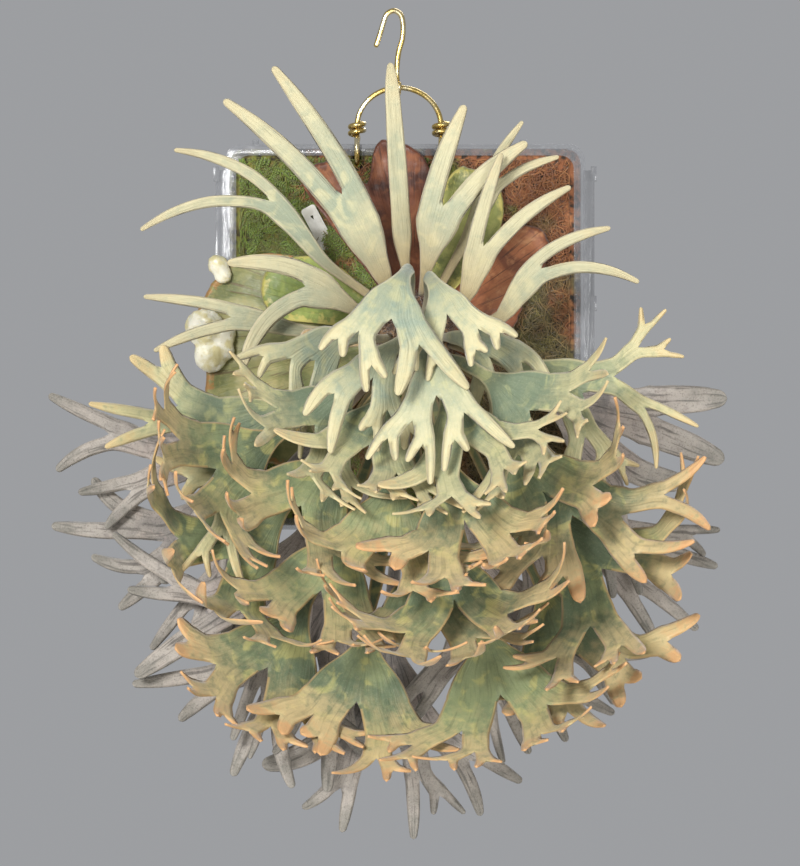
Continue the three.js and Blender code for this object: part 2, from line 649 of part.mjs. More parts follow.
function addPiece(name, solid, color, roughness = 0.7, metalness = 0, opacity = 1) {
  const look = { color, roughness, metalness, opacity, transparent: opacity < 1 };
  const mesh = new THREE.Mesh(geometryOf(solid), new THREE.MeshStandardMaterial(look));
  mesh.name = name;
  fern.add(mesh);
  return solid;
}

addPiece("tray", makeTray(), 0xc9ccd2, 0.15, 0, 0.5);
addPiece("wire_bail", makeBail(), 0xd9b54a, 0.3, 1);
addPiece("wire_hook", makeHook(), 0xd9b54a, 0.3, 1);
addPiece("rhizome", makeRhizome(), 0x8a6a48, 0.9);
addPiece("moss_pad", makeMoss(), 0x6d6a35, 1);

const placed = [];
for (const [name, shield] of Object.entries(shields)) {
  placed.push(addPiece(`shield_${name}`, makeShield(shield), shield.color, 0.8));
}
for (const [name, balls] of Object.entries(growths)) {
  placed.push(addPiece(`new_growth_${name}`, makeGrowth(balls), 0xe8e4d4, 0.5));
}
placed.push(addPiece("plant_label", makeLabel(), 0xf0eee6, 0.4));
placed.push(addPiece("frond_bud", makeBud(), 0xb89a6a));
for (const frond of fronds) {
  placed.push(addPiece(`frond_${frond.name}`, settle(frond, placed), frond.color));
}

export default fern;
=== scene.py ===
# Dresses a staghorn fern that grows in a clear tray of moss and hangs from a wire hook.
# Sizes are in millimetres where no note says metres, and every mesh is scaled to metres when it is made.
import math

import bmesh
import bpy
import numpy as np
from mathutils import Matrix, Vector, noise
from mathutils.bvhtree import BVHTree


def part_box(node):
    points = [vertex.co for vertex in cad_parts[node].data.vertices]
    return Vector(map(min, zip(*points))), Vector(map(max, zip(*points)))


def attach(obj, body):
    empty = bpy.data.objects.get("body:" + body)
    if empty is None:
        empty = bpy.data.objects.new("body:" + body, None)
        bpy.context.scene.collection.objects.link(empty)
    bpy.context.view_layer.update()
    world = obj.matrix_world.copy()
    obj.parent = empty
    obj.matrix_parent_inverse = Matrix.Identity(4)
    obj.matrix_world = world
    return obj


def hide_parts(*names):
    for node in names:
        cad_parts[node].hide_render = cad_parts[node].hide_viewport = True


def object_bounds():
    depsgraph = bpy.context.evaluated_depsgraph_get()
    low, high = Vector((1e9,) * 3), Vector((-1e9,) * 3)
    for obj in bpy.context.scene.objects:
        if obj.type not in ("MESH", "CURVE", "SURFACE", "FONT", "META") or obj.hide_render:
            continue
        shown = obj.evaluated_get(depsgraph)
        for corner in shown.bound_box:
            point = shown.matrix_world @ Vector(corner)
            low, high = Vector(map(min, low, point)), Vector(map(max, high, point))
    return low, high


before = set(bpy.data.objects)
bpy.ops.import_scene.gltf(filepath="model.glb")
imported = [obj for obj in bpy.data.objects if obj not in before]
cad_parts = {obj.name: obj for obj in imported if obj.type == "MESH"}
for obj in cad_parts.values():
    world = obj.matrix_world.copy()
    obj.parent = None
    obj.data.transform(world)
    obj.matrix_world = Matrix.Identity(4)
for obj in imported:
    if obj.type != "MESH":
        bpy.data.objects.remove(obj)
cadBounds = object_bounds()
scene = bpy.context.scene
mm = 0.001
down = Vector((0, 0, -1))
crown = Vector((10.9, -36, -167))  # middle of the short stem that every frond grows from
print("frame loaded,", len(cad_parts), "nodes")


def linked(name, data):  # a new object, in the scene
    made = bpy.data.objects.new(name, data)
    scene.collection.objects.link(made)
    return made


# the camera stands at the photograph's angle: level, and looking along +Y. Its place is in metres
cameraSettings = {"place": (0.0031, -2.2, -0.2179), "lens": 176, "sensor": 36}


def addCamera(settings):
    data = bpy.data.cameras.new("camera")
    data.lens = settings["lens"]
    data.sensor_width = settings["sensor"]
    scene.camera = linked("camera", data)
    scene.camera.location = settings["place"]
    scene.camera.rotation_euler = (math.radians(90), 0, 0)


addCamera(cameraSettings)


# small tools
def randomFrom(seed):  # the same draws as the fern's solids are grown with
    state = seed & 0xFFFFFFFF

    def draw():
        nonlocal state
        state = (state + 0x6D2B79F5) & 0xFFFFFFFF
        mixed = ((state ^ (state >> 15)) * (state | 1)) & 0xFFFFFFFF
        mixed ^= (mixed + (mixed ^ (mixed >> 7)) * (mixed | 61)) & 0xFFFFFFFF
        return (mixed ^ (mixed >> 14)) / 4294967296

    return draw


def smooth(low, high, value):  # from 0 at low to 1 at high, for numbers and for arrays
    t = np.clip((value - low) / (high - low), 0, 1)
    return t * t * (3 - 2 * t)


def unit(rows):
    return rows / np.maximum(np.linalg.norm(rows, axis=-1, keepdims=True), 1e-9)


def ripple(x, y, z):
    return noise.noise(Vector((x, y, z)))


def tint(red, green, blue):  # a colour as a paint chart gives it, 0 to 255
    return tuple(((c / 255 + 0.055) / 1.055) ** 2.4 if c > 10 else c / 3294.6 for c in (red, green, blue)) + (1,)


def smoothShaded(mesh):
    mesh.polygons.foreach_set("use_smooth", [True] * len(mesh.polygons))
    return mesh


def showPiece(name, mesh, material, nodes):
    mesh.materials.clear()
    mesh.materials.append(material)
    piece = linked(name, mesh)
    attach(piece, "root")
    if nodes:
        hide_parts(*nodes)


def makePiece(name, points, faces, material, nodes=(), values=None, closed=True):
    mesh = bpy.data.meshes.new(name)
    mesh.from_pydata((np.asarray(points, float) * mm).tolist(), [], faces)
    for key, numbers in (values or {}).items():
        mesh.attributes.new(key, "FLOAT", "POINT").data.foreach_set("value", np.asarray(numbers, float))
    if closed:
        shell = bmesh.new()
        shell.from_mesh(mesh)
        bmesh.ops.recalc_face_normals(shell, faces=shell.faces)
        shell.to_mesh(mesh)
        shell.free()
    showPiece(name, smoothShaded(mesh), material, nodes)


def evenSpline(rows, spacing, power=1.0, firstSlope=None):  # a smooth line through rows that begin with X, Y, Z
    rows = np.asarray(rows, float)
    spans = np.linalg.norm(np.diff(rows[:, :3], axis=0), axis=1) ** power
    slopes = np.zeros_like(rows)
    steps = np.diff(rows, axis=0) / spans[:, None]
    for i in range(1, len(rows) - 1):
        slopes[i] = (steps[i - 1] * spans[i] + steps[i] * spans[i - 1]) / (spans[i - 1] + spans[i])
    slopes[0] = steps[0] if len(rows) == 2 else 1.5 * steps[0] - 0.5 * slopes[1]
    slopes[-1] = steps[-1] if len(rows) == 2 else 1.5 * steps[-1] - 0.5 * slopes[-2]
    if firstSlope is not None:
        slopes[0, :3] = firstSlope
    found = [rows[0]]
    for i, span in enumerate(spans):
        count = max(2, round(float(span ** (1 / power)) / spacing))
        for k in range(1, count + 1):
            t = k / count
            a, b = 2 * t**3 - 3 * t**2 + 1, t**3 - 2 * t**2 + t
            c, d = -2 * t**3 + 3 * t**2, t**3 - t**2
            found.append(a * rows[i] + b * span * slopes[i] + c * rows[i + 1] + d * span * slopes[i + 1])
    return np.array(found)


def lengthsAlong(places):
    return np.concatenate(([0], np.cumsum(np.linalg.norm(np.diff(places, axis=0), axis=1))))


def ringFaces(rings, count, closed=False):  # the quads between rings of points, each with the same count
    faces = []
    for i in range(rings if closed else rings - 1):
        first, second = i * count, (i + 1) % rings * count
        for k in range(count):
            n = (k + 1) % count
            faces.append([first + k, first + n, second + n, second + k])
    return faces


def tubeMesh(path, radii, sides):  # a round tube along a path, closed at both ends
    ahead = unit(np.gradient(path, axis=0))
    across = unit(np.cross(ahead[0], (0.31, 0.2, 0.93)))  # a direction in which no wire starts
    angles = np.linspace(0, 2 * math.pi, sides, endpoint=False)
    points = []
    for place, direction, radius in zip(path, ahead, radii):
        across = unit(across - direction * across.dot(direction))
        other = np.cross(direction, across)
        points += [place + radius * (math.cos(a) * across + math.sin(a) * other) for a in angles]
    ends = [list(range(sides)), list(range(len(points) - sides, len(points)))]
    return points, ends + ringFaces(len(path), sides)


def roundedEnds(path, radius, sections=4):  # the path cut into even steps, with radii that round off its two ends
    rows = np.asarray(path)
    lengths = lengthsAlong(rows)
    turns = np.linspace(0, math.pi / 2, sections + 1)
    cap = radius * (1 - np.cos(turns))
    between = lengths[(lengths > radius) & (lengths < lengths[-1] - radius)]
    at = np.concatenate((cap, between, lengths[-1] - cap[::-1]))
    radii = np.full(len(at), radius, float)
    radii[: sections + 1] = radius * np.maximum(np.sin(turns), 0.12)
    radii[-sections - 1:] = radii[: sections + 1][::-1]
    return np.stack([np.interp(at, lengths, rows[:, c]) for c in range(3)], axis=1), radii


def solidForm(node):  # a copy of a solid's mesh, with its corners joined
    shell = bmesh.new()
    shell.from_mesh(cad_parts[node].data)
    bmesh.ops.remove_doubles(shell, verts=shell.verts, dist=2e-6)
    mesh = bpy.data.meshes.new(node + "_form")
    shell.to_mesh(mesh)
    shell.free()
    for key in [a.name for a in mesh.color_attributes] + [a.name for a in mesh.uv_layers]:
        mesh.attributes.remove(mesh.attributes[key])
    return mesh


def worked(mesh, *steps):  # the mesh after a chain of modifiers, each a kind with its settings
    form = linked("form", mesh)
    for kind, settings in steps:
        modifier = form.modifiers.new(kind, kind)
        for key, value in settings.items():
            setattr(modifier, key, value)
    shaped = form.evaluated_get(bpy.context.evaluated_depsgraph_get())
    result = bpy.data.meshes.new_from_object(shaped)
    bpy.data.objects.remove(form)
    return result


def meshPoints(mesh, key="vertices", value="co"):
    numbers = np.empty(len(getattr(mesh, key)) * 3)
    getattr(mesh, key).foreach_get(value, numbers)
    return numbers.reshape(-1, 3)


def roughened(node, voxel, rounds, moved):  # a solid's mesh made even and fine, each point moved along its normal
    remesh = {"mode": "VOXEL", "voxel_size": voxel * mm}
    mesh = worked(solidForm(node), ("REMESH", remesh), ("SMOOTH", {"factor": 0.5, "iterations": rounds}))
    points = meshPoints(mesh) / mm
    out = meshPoints(mesh, "vertex_normals", "vector")
    for i, (place, normal) in enumerate(zip(points, out)):
        points[i] += normal * moved(place, normal)
    mesh.vertices.foreach_set("co", (points * mm).ravel())
    return smoothShaded(mesh), points, out


class Finish:  # a material, with short ways to add its nodes
    def __init__(self, name, sockets):
        self.material = bpy.data.materials.new(name)
        self.material.use_nodes = True
        self.tree = self.material.node_tree
        self.shader = self.tree.nodes["Principled BSDF"]
        self.put(self.shader, sockets)
        self.places = self.node("TexCoord").outputs["Object"]

    def put(self, made, sockets):
        for key, value in sockets.items():
            if isinstance(value, bpy.types.NodeSocket):
                self.tree.links.new(value, made.inputs[key])
            else:
                made.inputs[key].default_value = value

    def node(self, kind, sockets=None, **settings):
        made = self.tree.nodes.new("ShaderNode" + kind)
        for key, value in settings.items():
            setattr(made, key, value)
        self.put(made, sockets or {})
        return made

    def value(self, key):
        return self.node("Attribute", attribute_name=key).outputs["Fac"]

    def grain(self, size, detail=3, rough=0.55, places=None, twist=0):  # noise with features of a size in mm
        scale = {"Scale": 1000 / size if places is None else size, "Detail": detail, "Roughness": rough}
        places = self.places if places is None else places
        return self.node("TexNoise", {"Vector": places, "Distortion": twist, **scale}).outputs[0]

    def span(self, value, low, high, first=0.0, last=1.0):  # value from low to high becomes first to last
        sockets = {"Value": value, "From Min": low, "From Max": high, "To Min": first, "To Max": last}
        return self.node("MapRange", sockets, interpolation_type="SMOOTHSTEP").outputs[0]

    def plus(self, first, second):
        return self.node("Math", {0: first, 1: second}, operation="ADD").outputs[0]

    def times(self, first, second):
        return self.node("Math", {0: first, 1: second}, operation="MULTIPLY").outputs[0]

    def blend(self, share, first, second):
        first, second = (tint(*colour) if isinstance(colour, tuple) else colour for colour in (first, second))
        return self.node("Mix", {0: share, 6: first, 7: second}, data_type="RGBA").outputs[2]

    def layers(self, colour, *coats):  # a coat is a colour, what it follows, and the span over which it comes or goes
        for coat, value, *ends in coats:
            colour = self.blend(self.span(value, *ends), colour, coat)
        return colour

    def stretched(self, x, y, z):
        return self.node("CombineXYZ", {0: x, 1: y, 2: z}).outputs[0]

    def finish(self, colour, roughness, height, depth, strength=0.6):  # depth is the relief's height in mm
        bump = self.node("Bump", {"Height": height, "Distance": depth * mm, "Strength": strength})
        self.put(self.shader, {"Base Color": colour, "Roughness": roughness, "Normal": bump.outputs[0]})
        return self.material


# the clear plastic tray: the solid itself, with softened edges
traySettings = {
    "bevel": 0.45, "tone": (140, 142, 146), "haze": (204, 206, 208), "alpha": 0.3, "rough": (0.15, 0.26),
}


def trayFinish(look):
    sockets = {"IOR": 1.46, "Specular IOR Level": 0.6, "Coat Weight": 0.3, "Coat Roughness": 0.05}
    plastic = Finish("clear_plastic_sheet", {**sockets, "Alpha": look["alpha"]})
    waves, scuffs = plastic.grain(22, 2), plastic.grain(1.1, 5, 0.7)
    colour = plastic.layers(look["tone"], (look["haze"], scuffs, 0.56, 0.72))
    return plastic.finish(colour, plastic.span(scuffs, 0.4, 0.7, *look["rough"]), waves, 2.2, 0.7)


def makeTray(settings):
    bevel = {"width": settings["bevel"] * mm, "segments": 2, "limit_method": "ANGLE", "angle_limit": math.radians(40)}
    mesh = smoothShaded(worked(solidForm("tray"), ("BEVEL", bevel)))
    mesh.set_sharp_from_angle(angle=math.radians(35))
    showPiece("clear_tray", mesh, trayFinish(settings), ["tray"])


makeTray(traySettings)
print("tray made")

# the wire bail and the wire hook, round and gold-coloured
wireSettings = {
    "radius": 1.4, "sides": 14, "step": 0.7,
    "gold": (214, 186, 110), "pale": (226, 214, 176), "dull": (150, 112, 48),
}
trayTop = -68
bail = {"left": -19.2, "right": 24.4, "footZ": -58.5, "topZ": -38.5}
ring = {"frontY": -8.3, "backY": 3.4, "lowZ": -79}  # how each foot of the bail loops through the tray's lip
wrap = {"radius": 3.5, "turns": 2, "low": 5, "rise": 6.6, "points": 8}  # how its end is wrapped round it above
hook = {"eyeRadius": 3.9, "eyeX": 1.6, "eyeZ": -37.9}


def wireFinish(look):
    gold = Finish("gold_coloured_wire", {"Metallic": 1.0, "Coat Weight": 0.15, "Coat Roughness": 0.2})
    patches, lines = gold.grain(9, 4), gold.grain(0.8, 4, 0.6)
    worn = (look["dull"], lines, 0.56, 0.75, 0, 0.6)
    colour = gold.layers(look["gold"], (look["pale"], patches, 0.42, 0.6), worn)
    return gold.finish(colour, gold.span(lines, 0.35, 0.7, 0.18, 0.42), lines, 0.06, 0.5)


def bailFoot(x):
    front, back, low = ring["frontY"], ring["backY"], ring["lowZ"]
    points = [
        [x, 0, bail["footZ"]], [x, 0, bail["footZ"] - 2.5], [x, -0.6, trayTop + 4.4], [x, front + 2.7, trayTop + 2.6],
        [x, front, trayTop - 0.6], [x, front, trayTop - 5], [x, front + 2.4, low + 1.4],
        [x, front / 2 + back / 2, low], [x, back - 1.6, low + 1.8], [x, back, trayTop - 4], [x, back, trayTop + 1],
    ]
    count = wrap["turns"] * wrap["points"]
    for i in range(count + 1):
        a = math.pi / 2 + 2 * math.pi * i / wrap["points"]
        z = trayTop + wrap["low"] + wrap["rise"] * i / count
        points.append([x + wrap["radius"] * math.cos(a), wrap["radius"] * math.sin(a), z])
    return points


def bailPath():
    middle, half = (bail["left"] + bail["right"]) / 2, (bail["right"] - bail["left"]) / 2
    arch = []
    for a in np.radians(np.arange(165, 0, -15)):
        height = (bail["topZ"] - bail["footZ"]) * math.sin(a)
        arch.append([middle + half * math.cos(a), 0, bail["footZ"] + height])
    return bailFoot(bail["left"])[::-1] + arch + bailFoot(bail["right"])


def hookPath():
    eyeRadius, eyeX, eyeZ = hook["eyeRadius"], hook["eyeX"], hook["eyeZ"]
    points = [
        [-9.6, 0, -17.6], [-7.4, 0, -11], [-5.6, 0, -5], [-3.7, 0, -0.2], [0, 0, 1.5], [3.4, 0, -0.6],
        [4.7, 0, -6], [4.3, 0, -13], [2.4, 0, -20], [eyeX - 0.2, 0.4, eyeZ + eyeRadius + 4],
    ]
    for a in np.arange(60, -216, -27.5):
        y, z = eyeRadius * math.cos(math.radians(a)), eyeRadius * math.sin(math.radians(a))
        points.append([eyeX + (60 - a) / 275, y, eyeZ + z])
    return points


def makeWire(name, path, node, settings, material):
    path, radii = roundedEnds(evenSpline(path, settings["step"], 0.5), settings["radius"])
    points, faces = tubeMesh(path, radii, settings["sides"])
    makePiece(name, points, faces, material, [node])


goldWire = wireFinish(wireSettings)
makeWire("bail_wire", bailPath(), "wire_bail", wireSettings, goldWire)
makeWire("hook_wire", hookPath(), "wire_hook", wireSettings, goldWire)
print("wires made")

# the moss: the pad, made rough, with green sprigs on its left and curled brown fibres on its right. Its colours
# change over middle (left to right) and damp (upwards), both in metres and blurred by drift
mossSettings = {
    "voxel": 1.9, "rough": 1.3, "lumps": (7, 2.6), "middle": (-0.03, 0.02), "drift": 0.075,
    "olive": (122, 112, 52), "green": (128, 152, 52), "rust": (138, 84, 50), "dark": (40, 30, 18),
    "straw": (186, 130, 80), "sage": (96, 88, 50), "hay": (156, 134, 88), "damp": (-0.215, -0.115),
    "fibres": {
        "count": 9500, "left": -30, "strays": 0.2, "strayTo": -20, "length": (5, 17), "radius": (0.16, 0.42),
        "hover": 2.6, "wave": 2.6, "waves": (0.4, 1.4), "bow": 0.9, "rows": 6,
    },
    "sprigs": {
        "count": 4200, "right": 20, "length": (5, 12), "radius": (0.12, 0.3), "rise": 2.4, "bow": 0.5, "rows": 6,
        "leaflets": 7, "leafSpan": (0.2, 0.96), "leaf": 1.7, "leafWidth": 0.22, "leafLift": 0.16,
    },
}
mound = {"rimY": -3.2, "rise": 24, "flatRadius": 16, "footRadius": 96, "aboveY": -90, "deepestY": 5}
window = {"left": -80, "right": 91.5, "low": -260.5, "top": -75.5, "margin": 0.7}  # the tray's opening


def moundY(x, z):
    r = np.hypot(x - crown.x, z - crown.z)
    return mound["rimY"] - mound["rise"] * (1 - smooth(mound["flatRadius"], mound["footRadius"], r))


def mossColour(moss, look, shade):  # green and olive at the left, rust brown at the right and duller low down there
    x, _, z = moss.node("SeparateXYZ", {0: moss.places}).outputs
    patches = moss.span(moss.grain(26, 3), 0.3, 0.7, -look["drift"], look["drift"])
    fresh = moss.blend(shade, look["olive"], look["green"])
    dry = moss.blend(shade, look["rust"], look["straw"])
    damp = moss.blend(shade, look["sage"], look["hay"])
    dry = moss.blend(moss.span(moss.plus(z, patches), *look["damp"]), damp, dry)
    return moss.blend(moss.span(moss.plus(x, patches), *look["middle"]), fresh, dry)


def mossPadFinish(look):
    moss = Finish("packed_moss", {"Sheen Weight": 0.3, "Sheen Roughness": 0.6})
    tufts = moss.grain(5, 5, 0.65)
    colour = mossColour(moss, look, moss.span(tufts, 0.45, 0.75, 0, 0.7))
    colour = moss.blend(moss.span(moss.grain(3.4, 4), 0.35, 0.56), look["dark"], colour)
    return moss.finish(colour, 0.92, tufts, 1.4, 0.9)


def mossStrandFinish(name, look, green):
    strand = Finish(name, {"Sheen Weight": 0.25, "Sheen Roughness": 0.5})
    shade = strand.value("shade")
    colour = strand.blend(shade, look["olive"], look["green"]) if green else mossColour(strand, look, shade)
    colour = strand.layers(colour, (look["dark"], strand.value("root"), 0, 0.35, 0.75, 0))
    return strand.finish(colour, 0.8, strand.grain(0.7, 3), 0.1, 0.5)


def makeMossPad(settings):
    coarse, fine = settings["lumps"]

    def lump(place, normal):  # only on the face that shows in the tray's opening
        x, y, z = place
        if not (window["left"] < x < window["right"] and window["low"] < z < window["top"] and normal[1] < -0.2):
            return 0
        return settings["rough"] * (ripple(*place / coarse) + 0.7 * ripple(*place / fine))

    mesh, points, _ = roughened("moss_pad", settings["voxel"], 2, lump)
    showPiece("moss_bed", mesh, mossPadFinish(settings), ["moss_pad"])
    return BVHTree.FromPolygons([Vector(p) for p in points], [list(f.vertices) for f in mesh.polygons])


def strandMesh(paths, radii):  # many three-sided strands: paths are counted by strand, then by row
    count, rows = paths.shape[:2]
    ahead = unit(np.gradient(paths, axis=1))
    across = unit(np.cross(ahead, (0.12, -0.9, 0.35)))
    other = np.cross(ahead, across)
    taper = np.sqrt(np.clip(np.linspace(1.0, 0.02, rows), 0, 1))[None, :, None]
    points = []
    for a in (0, 2.1, 4.2):
        offset = (math.cos(a) * across + math.sin(a) * other) * taper * radii[:, None, None]
        points.append(paths + offset)
    points = np.stack(points, axis=2).reshape(-1, 3)
    ids = np.arange(count * rows * 3).reshape(count, rows, 3)
    faces = []
    for k in range(3):
        n = (k + 1) % 3
        quads = np.stack((ids[:, :-1, k], ids[:, :-1, n], ids[:, 1:, n], ids[:, 1:, k]), axis=-1)
        faces += quads.reshape(-1, 4).tolist()
    faces += ids[:, 0, ::-1].tolist() + ids[:, -1].tolist()
    return points, faces


def rootSpots(count, left, right, draw):
    return draw.uniform(left, right, count), draw.uniform(window["low"] + 3, window["top"] - 3, count)


def laidOnMoss(x, z, turn, length, t, side, hover, bed):  # lines from each place, which bend to a side over the bed
    margin = window["margin"]
    turn, length = turn[:, None], length[:, None]
    x = x[:, None] + length * t * np.cos(turn) - side * np.sin(turn)
    z = z[:, None] + length * t * np.sin(turn) + side * np.cos(turn)
    x = np.clip(x, window["left"] + margin, window["right"] - margin)
    z = np.clip(z, window["low"] + margin, window["top"] - margin)
    y = moundY(x, z)
    for spot in np.ndindex(*x.shape):
        hit = bed.ray_cast(Vector((x[spot], mound["aboveY"], z[spot])), Vector((0, 1, 0)))[0]
        if hit is not None and hit.y < mound["deepestY"]:
            y[spot] = hit.y
    return np.stack((x, y - hover, z), axis=-1)


def makeFibres(settings, material, bed):
    draw = np.random.default_rng(11)
    look = settings["fibres"]
    count, rows = look["count"], look["rows"]
    x, z = rootSpots(count, look["left"], window["right"] - 3, draw)
    x = np.where(draw.random(count) < look["strays"], draw.uniform(window["left"] + 4, look["strayTo"], count), x)
    turn, length = draw.uniform(0, 2 * math.pi, count), draw.uniform(*look["length"], count)
    t = np.linspace(0, 1, rows)[None]
    turns = t * draw.uniform(*look["waves"], count)[:, None] + draw.random(count)[:, None]
    wave = look["wave"] * np.sin(2 * math.pi * turns)
    bow = draw.uniform(-look["bow"], look["bow"], count)[:, None] * t * t * length[:, None] * 0.5
    hover = look["hover"] * draw.uniform(0.1, 1, count)[:, None] * np.sin(math.pi * t) ** 0.7
    paths = laidOnMoss(x, z, turn, length, t, wave + bow, hover + 0.1, bed)
    points, faces = strandMesh(paths, draw.uniform(*look["radius"], count))
    shade = np.repeat(draw.random(count) ** 1.3, rows * 3)
    root = np.tile(np.repeat(0.5 + 0.5 * t[0], 3), count)
    makePiece("moss_fibres", points, faces, material, values={"shade": shade, "root": root}, closed=False)


def leafletMesh(paths, tone, look, first):  # pairs of small four-sided scales along each stem, with their undersides
    rows = paths.shape[1]
    at = np.linspace(*look["leafSpan"], look["leaflets"])
    low = np.clip((at * (rows - 1)).astype(int), 0, rows - 2)
    part = (at * (rows - 1) - low)[None, :, None]
    spots = paths[:, low] * (1 - part) + paths[:, low + 1] * part
    ahead = unit(paths[:, low + 1] - paths[:, low])
    side = unit(np.cross(ahead, (0, -1, 0)))
    size = look["leaf"] * np.sin(math.pi * (0.15 + 0.75 * at))[None, :, None] * (0.7 + 0.6 * tone)[:, None, None]
    scales = []
    for k in (-1, 1):
        lean = ahead * 0.9 + side * k + np.array([0, -0.35, 0])
        bulge, end = spots + lean * size * 0.4, spots + lean * size * 0.8
        width = np.cross(unit(lean), (0, -1, 0)) * size * look["leafWidth"]
        lift = np.array([0, -look["leafLift"], 0])
        scales.append(np.stack((spots, bulge + width, end, bulge - width, bulge + lift), axis=2))
    points = np.stack(scales, axis=2).reshape(-1, 3)
    ids = first + np.arange(len(points)).reshape(-1, 5)
    faces = []
    for a, b in ((0, 1), (1, 2), (2, 3), (3, 0)):
        faces += ids[:, (a, b, 4)].tolist()
    return points, faces + ids[:, 3::-1].tolist()


def makeSprigs(settings, material, bed):
    draw = np.random.default_rng(12)
    look = settings["sprigs"]
    count, rows = look["count"], look["rows"]
    x, z = rootSpots(count, window["left"] + 2, look["right"], draw)
    turn, length = draw.uniform(0, 2 * math.pi, count), draw.uniform(*look["length"], count)
    t = np.linspace(0, 1, rows)[None]
    side = draw.uniform(-look["bow"], look["bow"], count)[:, None] * t * t * length[:, None]
    rise = look["rise"] * draw.uniform(0.25, 1, count)[:, None] * np.sin(0.75 * math.pi * t)
    paths = laidOnMoss(x, z, turn, length, t, side, rise - 0.2, bed)
    points, faces = strandMesh(paths, draw.uniform(*look["radius"], count))
    tone = draw.random(count)
    scales, scaleFaces = leafletMesh(paths, tone, look, len(points))
    scaleShade = np.repeat(np.clip(tone + 0.25, 0, 1), look["leaflets"] * 2 * 5)
    shade = np.concatenate((np.repeat(tone, rows * 3), scaleShade))
    root = np.concatenate((np.tile(np.repeat(t[0], 3), count), np.full(len(scales), 0.8)))
    points, faces = np.concatenate((points, scales)), faces + scaleFaces
    makePiece("moss_sprigs", points, faces, material, values={"shade": shade, "root": root}, closed=False)


mossBed = makeMossPad(mossSettings)
makeFibres(mossSettings, mossStrandFinish("dry_moss_fibre", mossSettings, False), mossBed)
makeSprigs(mossSettings, mossStrandFinish("green_moss_sprig", mossSettings, True), mossBed)
print("moss made")


# sheets: a grid of places with a thickness, closed along its border
def sheetMesh(places, outward, thickness):
    rows, columns = places.shape[:2]
    border = np.zeros((rows, columns), bool)
    border[[0, -1]] = border[:, [0, -1]] = True
    offset = np.where(border[..., None], 0, outward * thickness / 2)
    points = [*(places + offset).reshape(-1, 3)]
    front = np.arange(rows * columns).reshape(rows, columns)
    back = front.copy()
    inner = np.nonzero(~border)
    back[inner] = len(points) + np.arange(len(inner[0]))
    points += [*(places - offset)[inner]]
    faces = []
    for ids, flip in ((front, 1), (back, -1)):
        quads = np.stack((ids[:-1, :-1], ids[:-1, 1:], ids[1:, 1:], ids[1:, :-1]), axis=-1)
        faces += quads.reshape(-1, 4)[:, ::flip].tolist()
    return points, faces, inner


# the shield fronds, which clasp the moss round the crown. Each has its look, its outline as azimuths and reaches
# from the crown, its layer over the moss, and the wave and seed of its solid
shieldSheet = {
    "feet": (19.6, 25.5), "thickness": 0.9, "lift": 3.4, "layerLift": 3.7, "azimuthStep": 1.1, "rowStep": 2.2,
    "degree": 1.2, "trim": 0.8, "folds": (7, 60), "creases": (2.5, 26), "puckers": 5, "flat": 8, "roll": 9,
    "rollTurn": 6, "scallops": (5.2, 1.7), "notches": 0.6,
}
brownLook = {
    "slot": "brown_shield", "tones": ((74, 38, 24), (122, 68, 40), (168, 108, 70)), "edge": (96, 50, 28),
    "vein": (58, 30, 20), "rough": (0.42, 0.7), "coat": 0.12, "wrinkle": 0.95, "curl": 2.4, "scallop": 2.2,
}
rustLook = {**brownLook, "tones": ((116, 66, 40), (162, 100, 62), (194, 142, 98)), "edge": (122, 68, 36)}
greenLook = {
    "slot": "green_shield", "tones": ((104, 110, 62), (138, 138, 84), (168, 158, 104)), "edge": (164, 116, 62),
    "vein": (96, 74, 44), "rough": (0.4, 0.6), "coat": 0.1, "wrinkle": 0.7, "curl": 1.6, "scallop": 1.2,
}
limeLook = {
    **greenLook, "tones": ((104, 122, 50), (134, 148, 66), (164, 174, 92)), "edge": (190, 178, 96),
    "vein": (108, 112, 48), "wrinkle": 0.5, "curl": 0.8, "scallop": 0.8,
}
waveLook = {**limeLook, "tones": ((92, 98, 48), (132, 136, 72), (162, 160, 92)), "curl": 2.2, "scallop": 2.6}
shields = {
    "brown_top": (brownLook, [
        [58, 70], [70, 92], [81, 80], [90, 97], [99, 103], [108, 84], [117, 102], [122, 103], [125.5, 72],
    ], 0, 2, 201),
    "brown_right": (rustLook, [[-14, 40], [3, 51], [18, 60], [30, 80], [38, 86], [48, 78], [57, 66]], 0, 2, 202),
    "green_right": (waveLook, [[48, 60], [56, 82], [64, 93], [72, 92], [80, 76]], 1, 1.2, 203),
    "green_left": (greenLook, [
        [144, 64], [153, 92], [163, 107], [172, 113], [181, 116], [190, 111], [199, 115], [210, 114], [220, 104],
        [230, 84],
    ], 0, 0.8, 204),
    "green_young": (limeLook, [[138, 50], [144, 70], [151, 79], [159, 85], [167, 82], [174, 66]], 1, 0.9, 205),
}


def shieldY(x, z, layer):
    return moundY(x, z) - shieldSheet["lift"] - shieldSheet["layerLift"] * layer


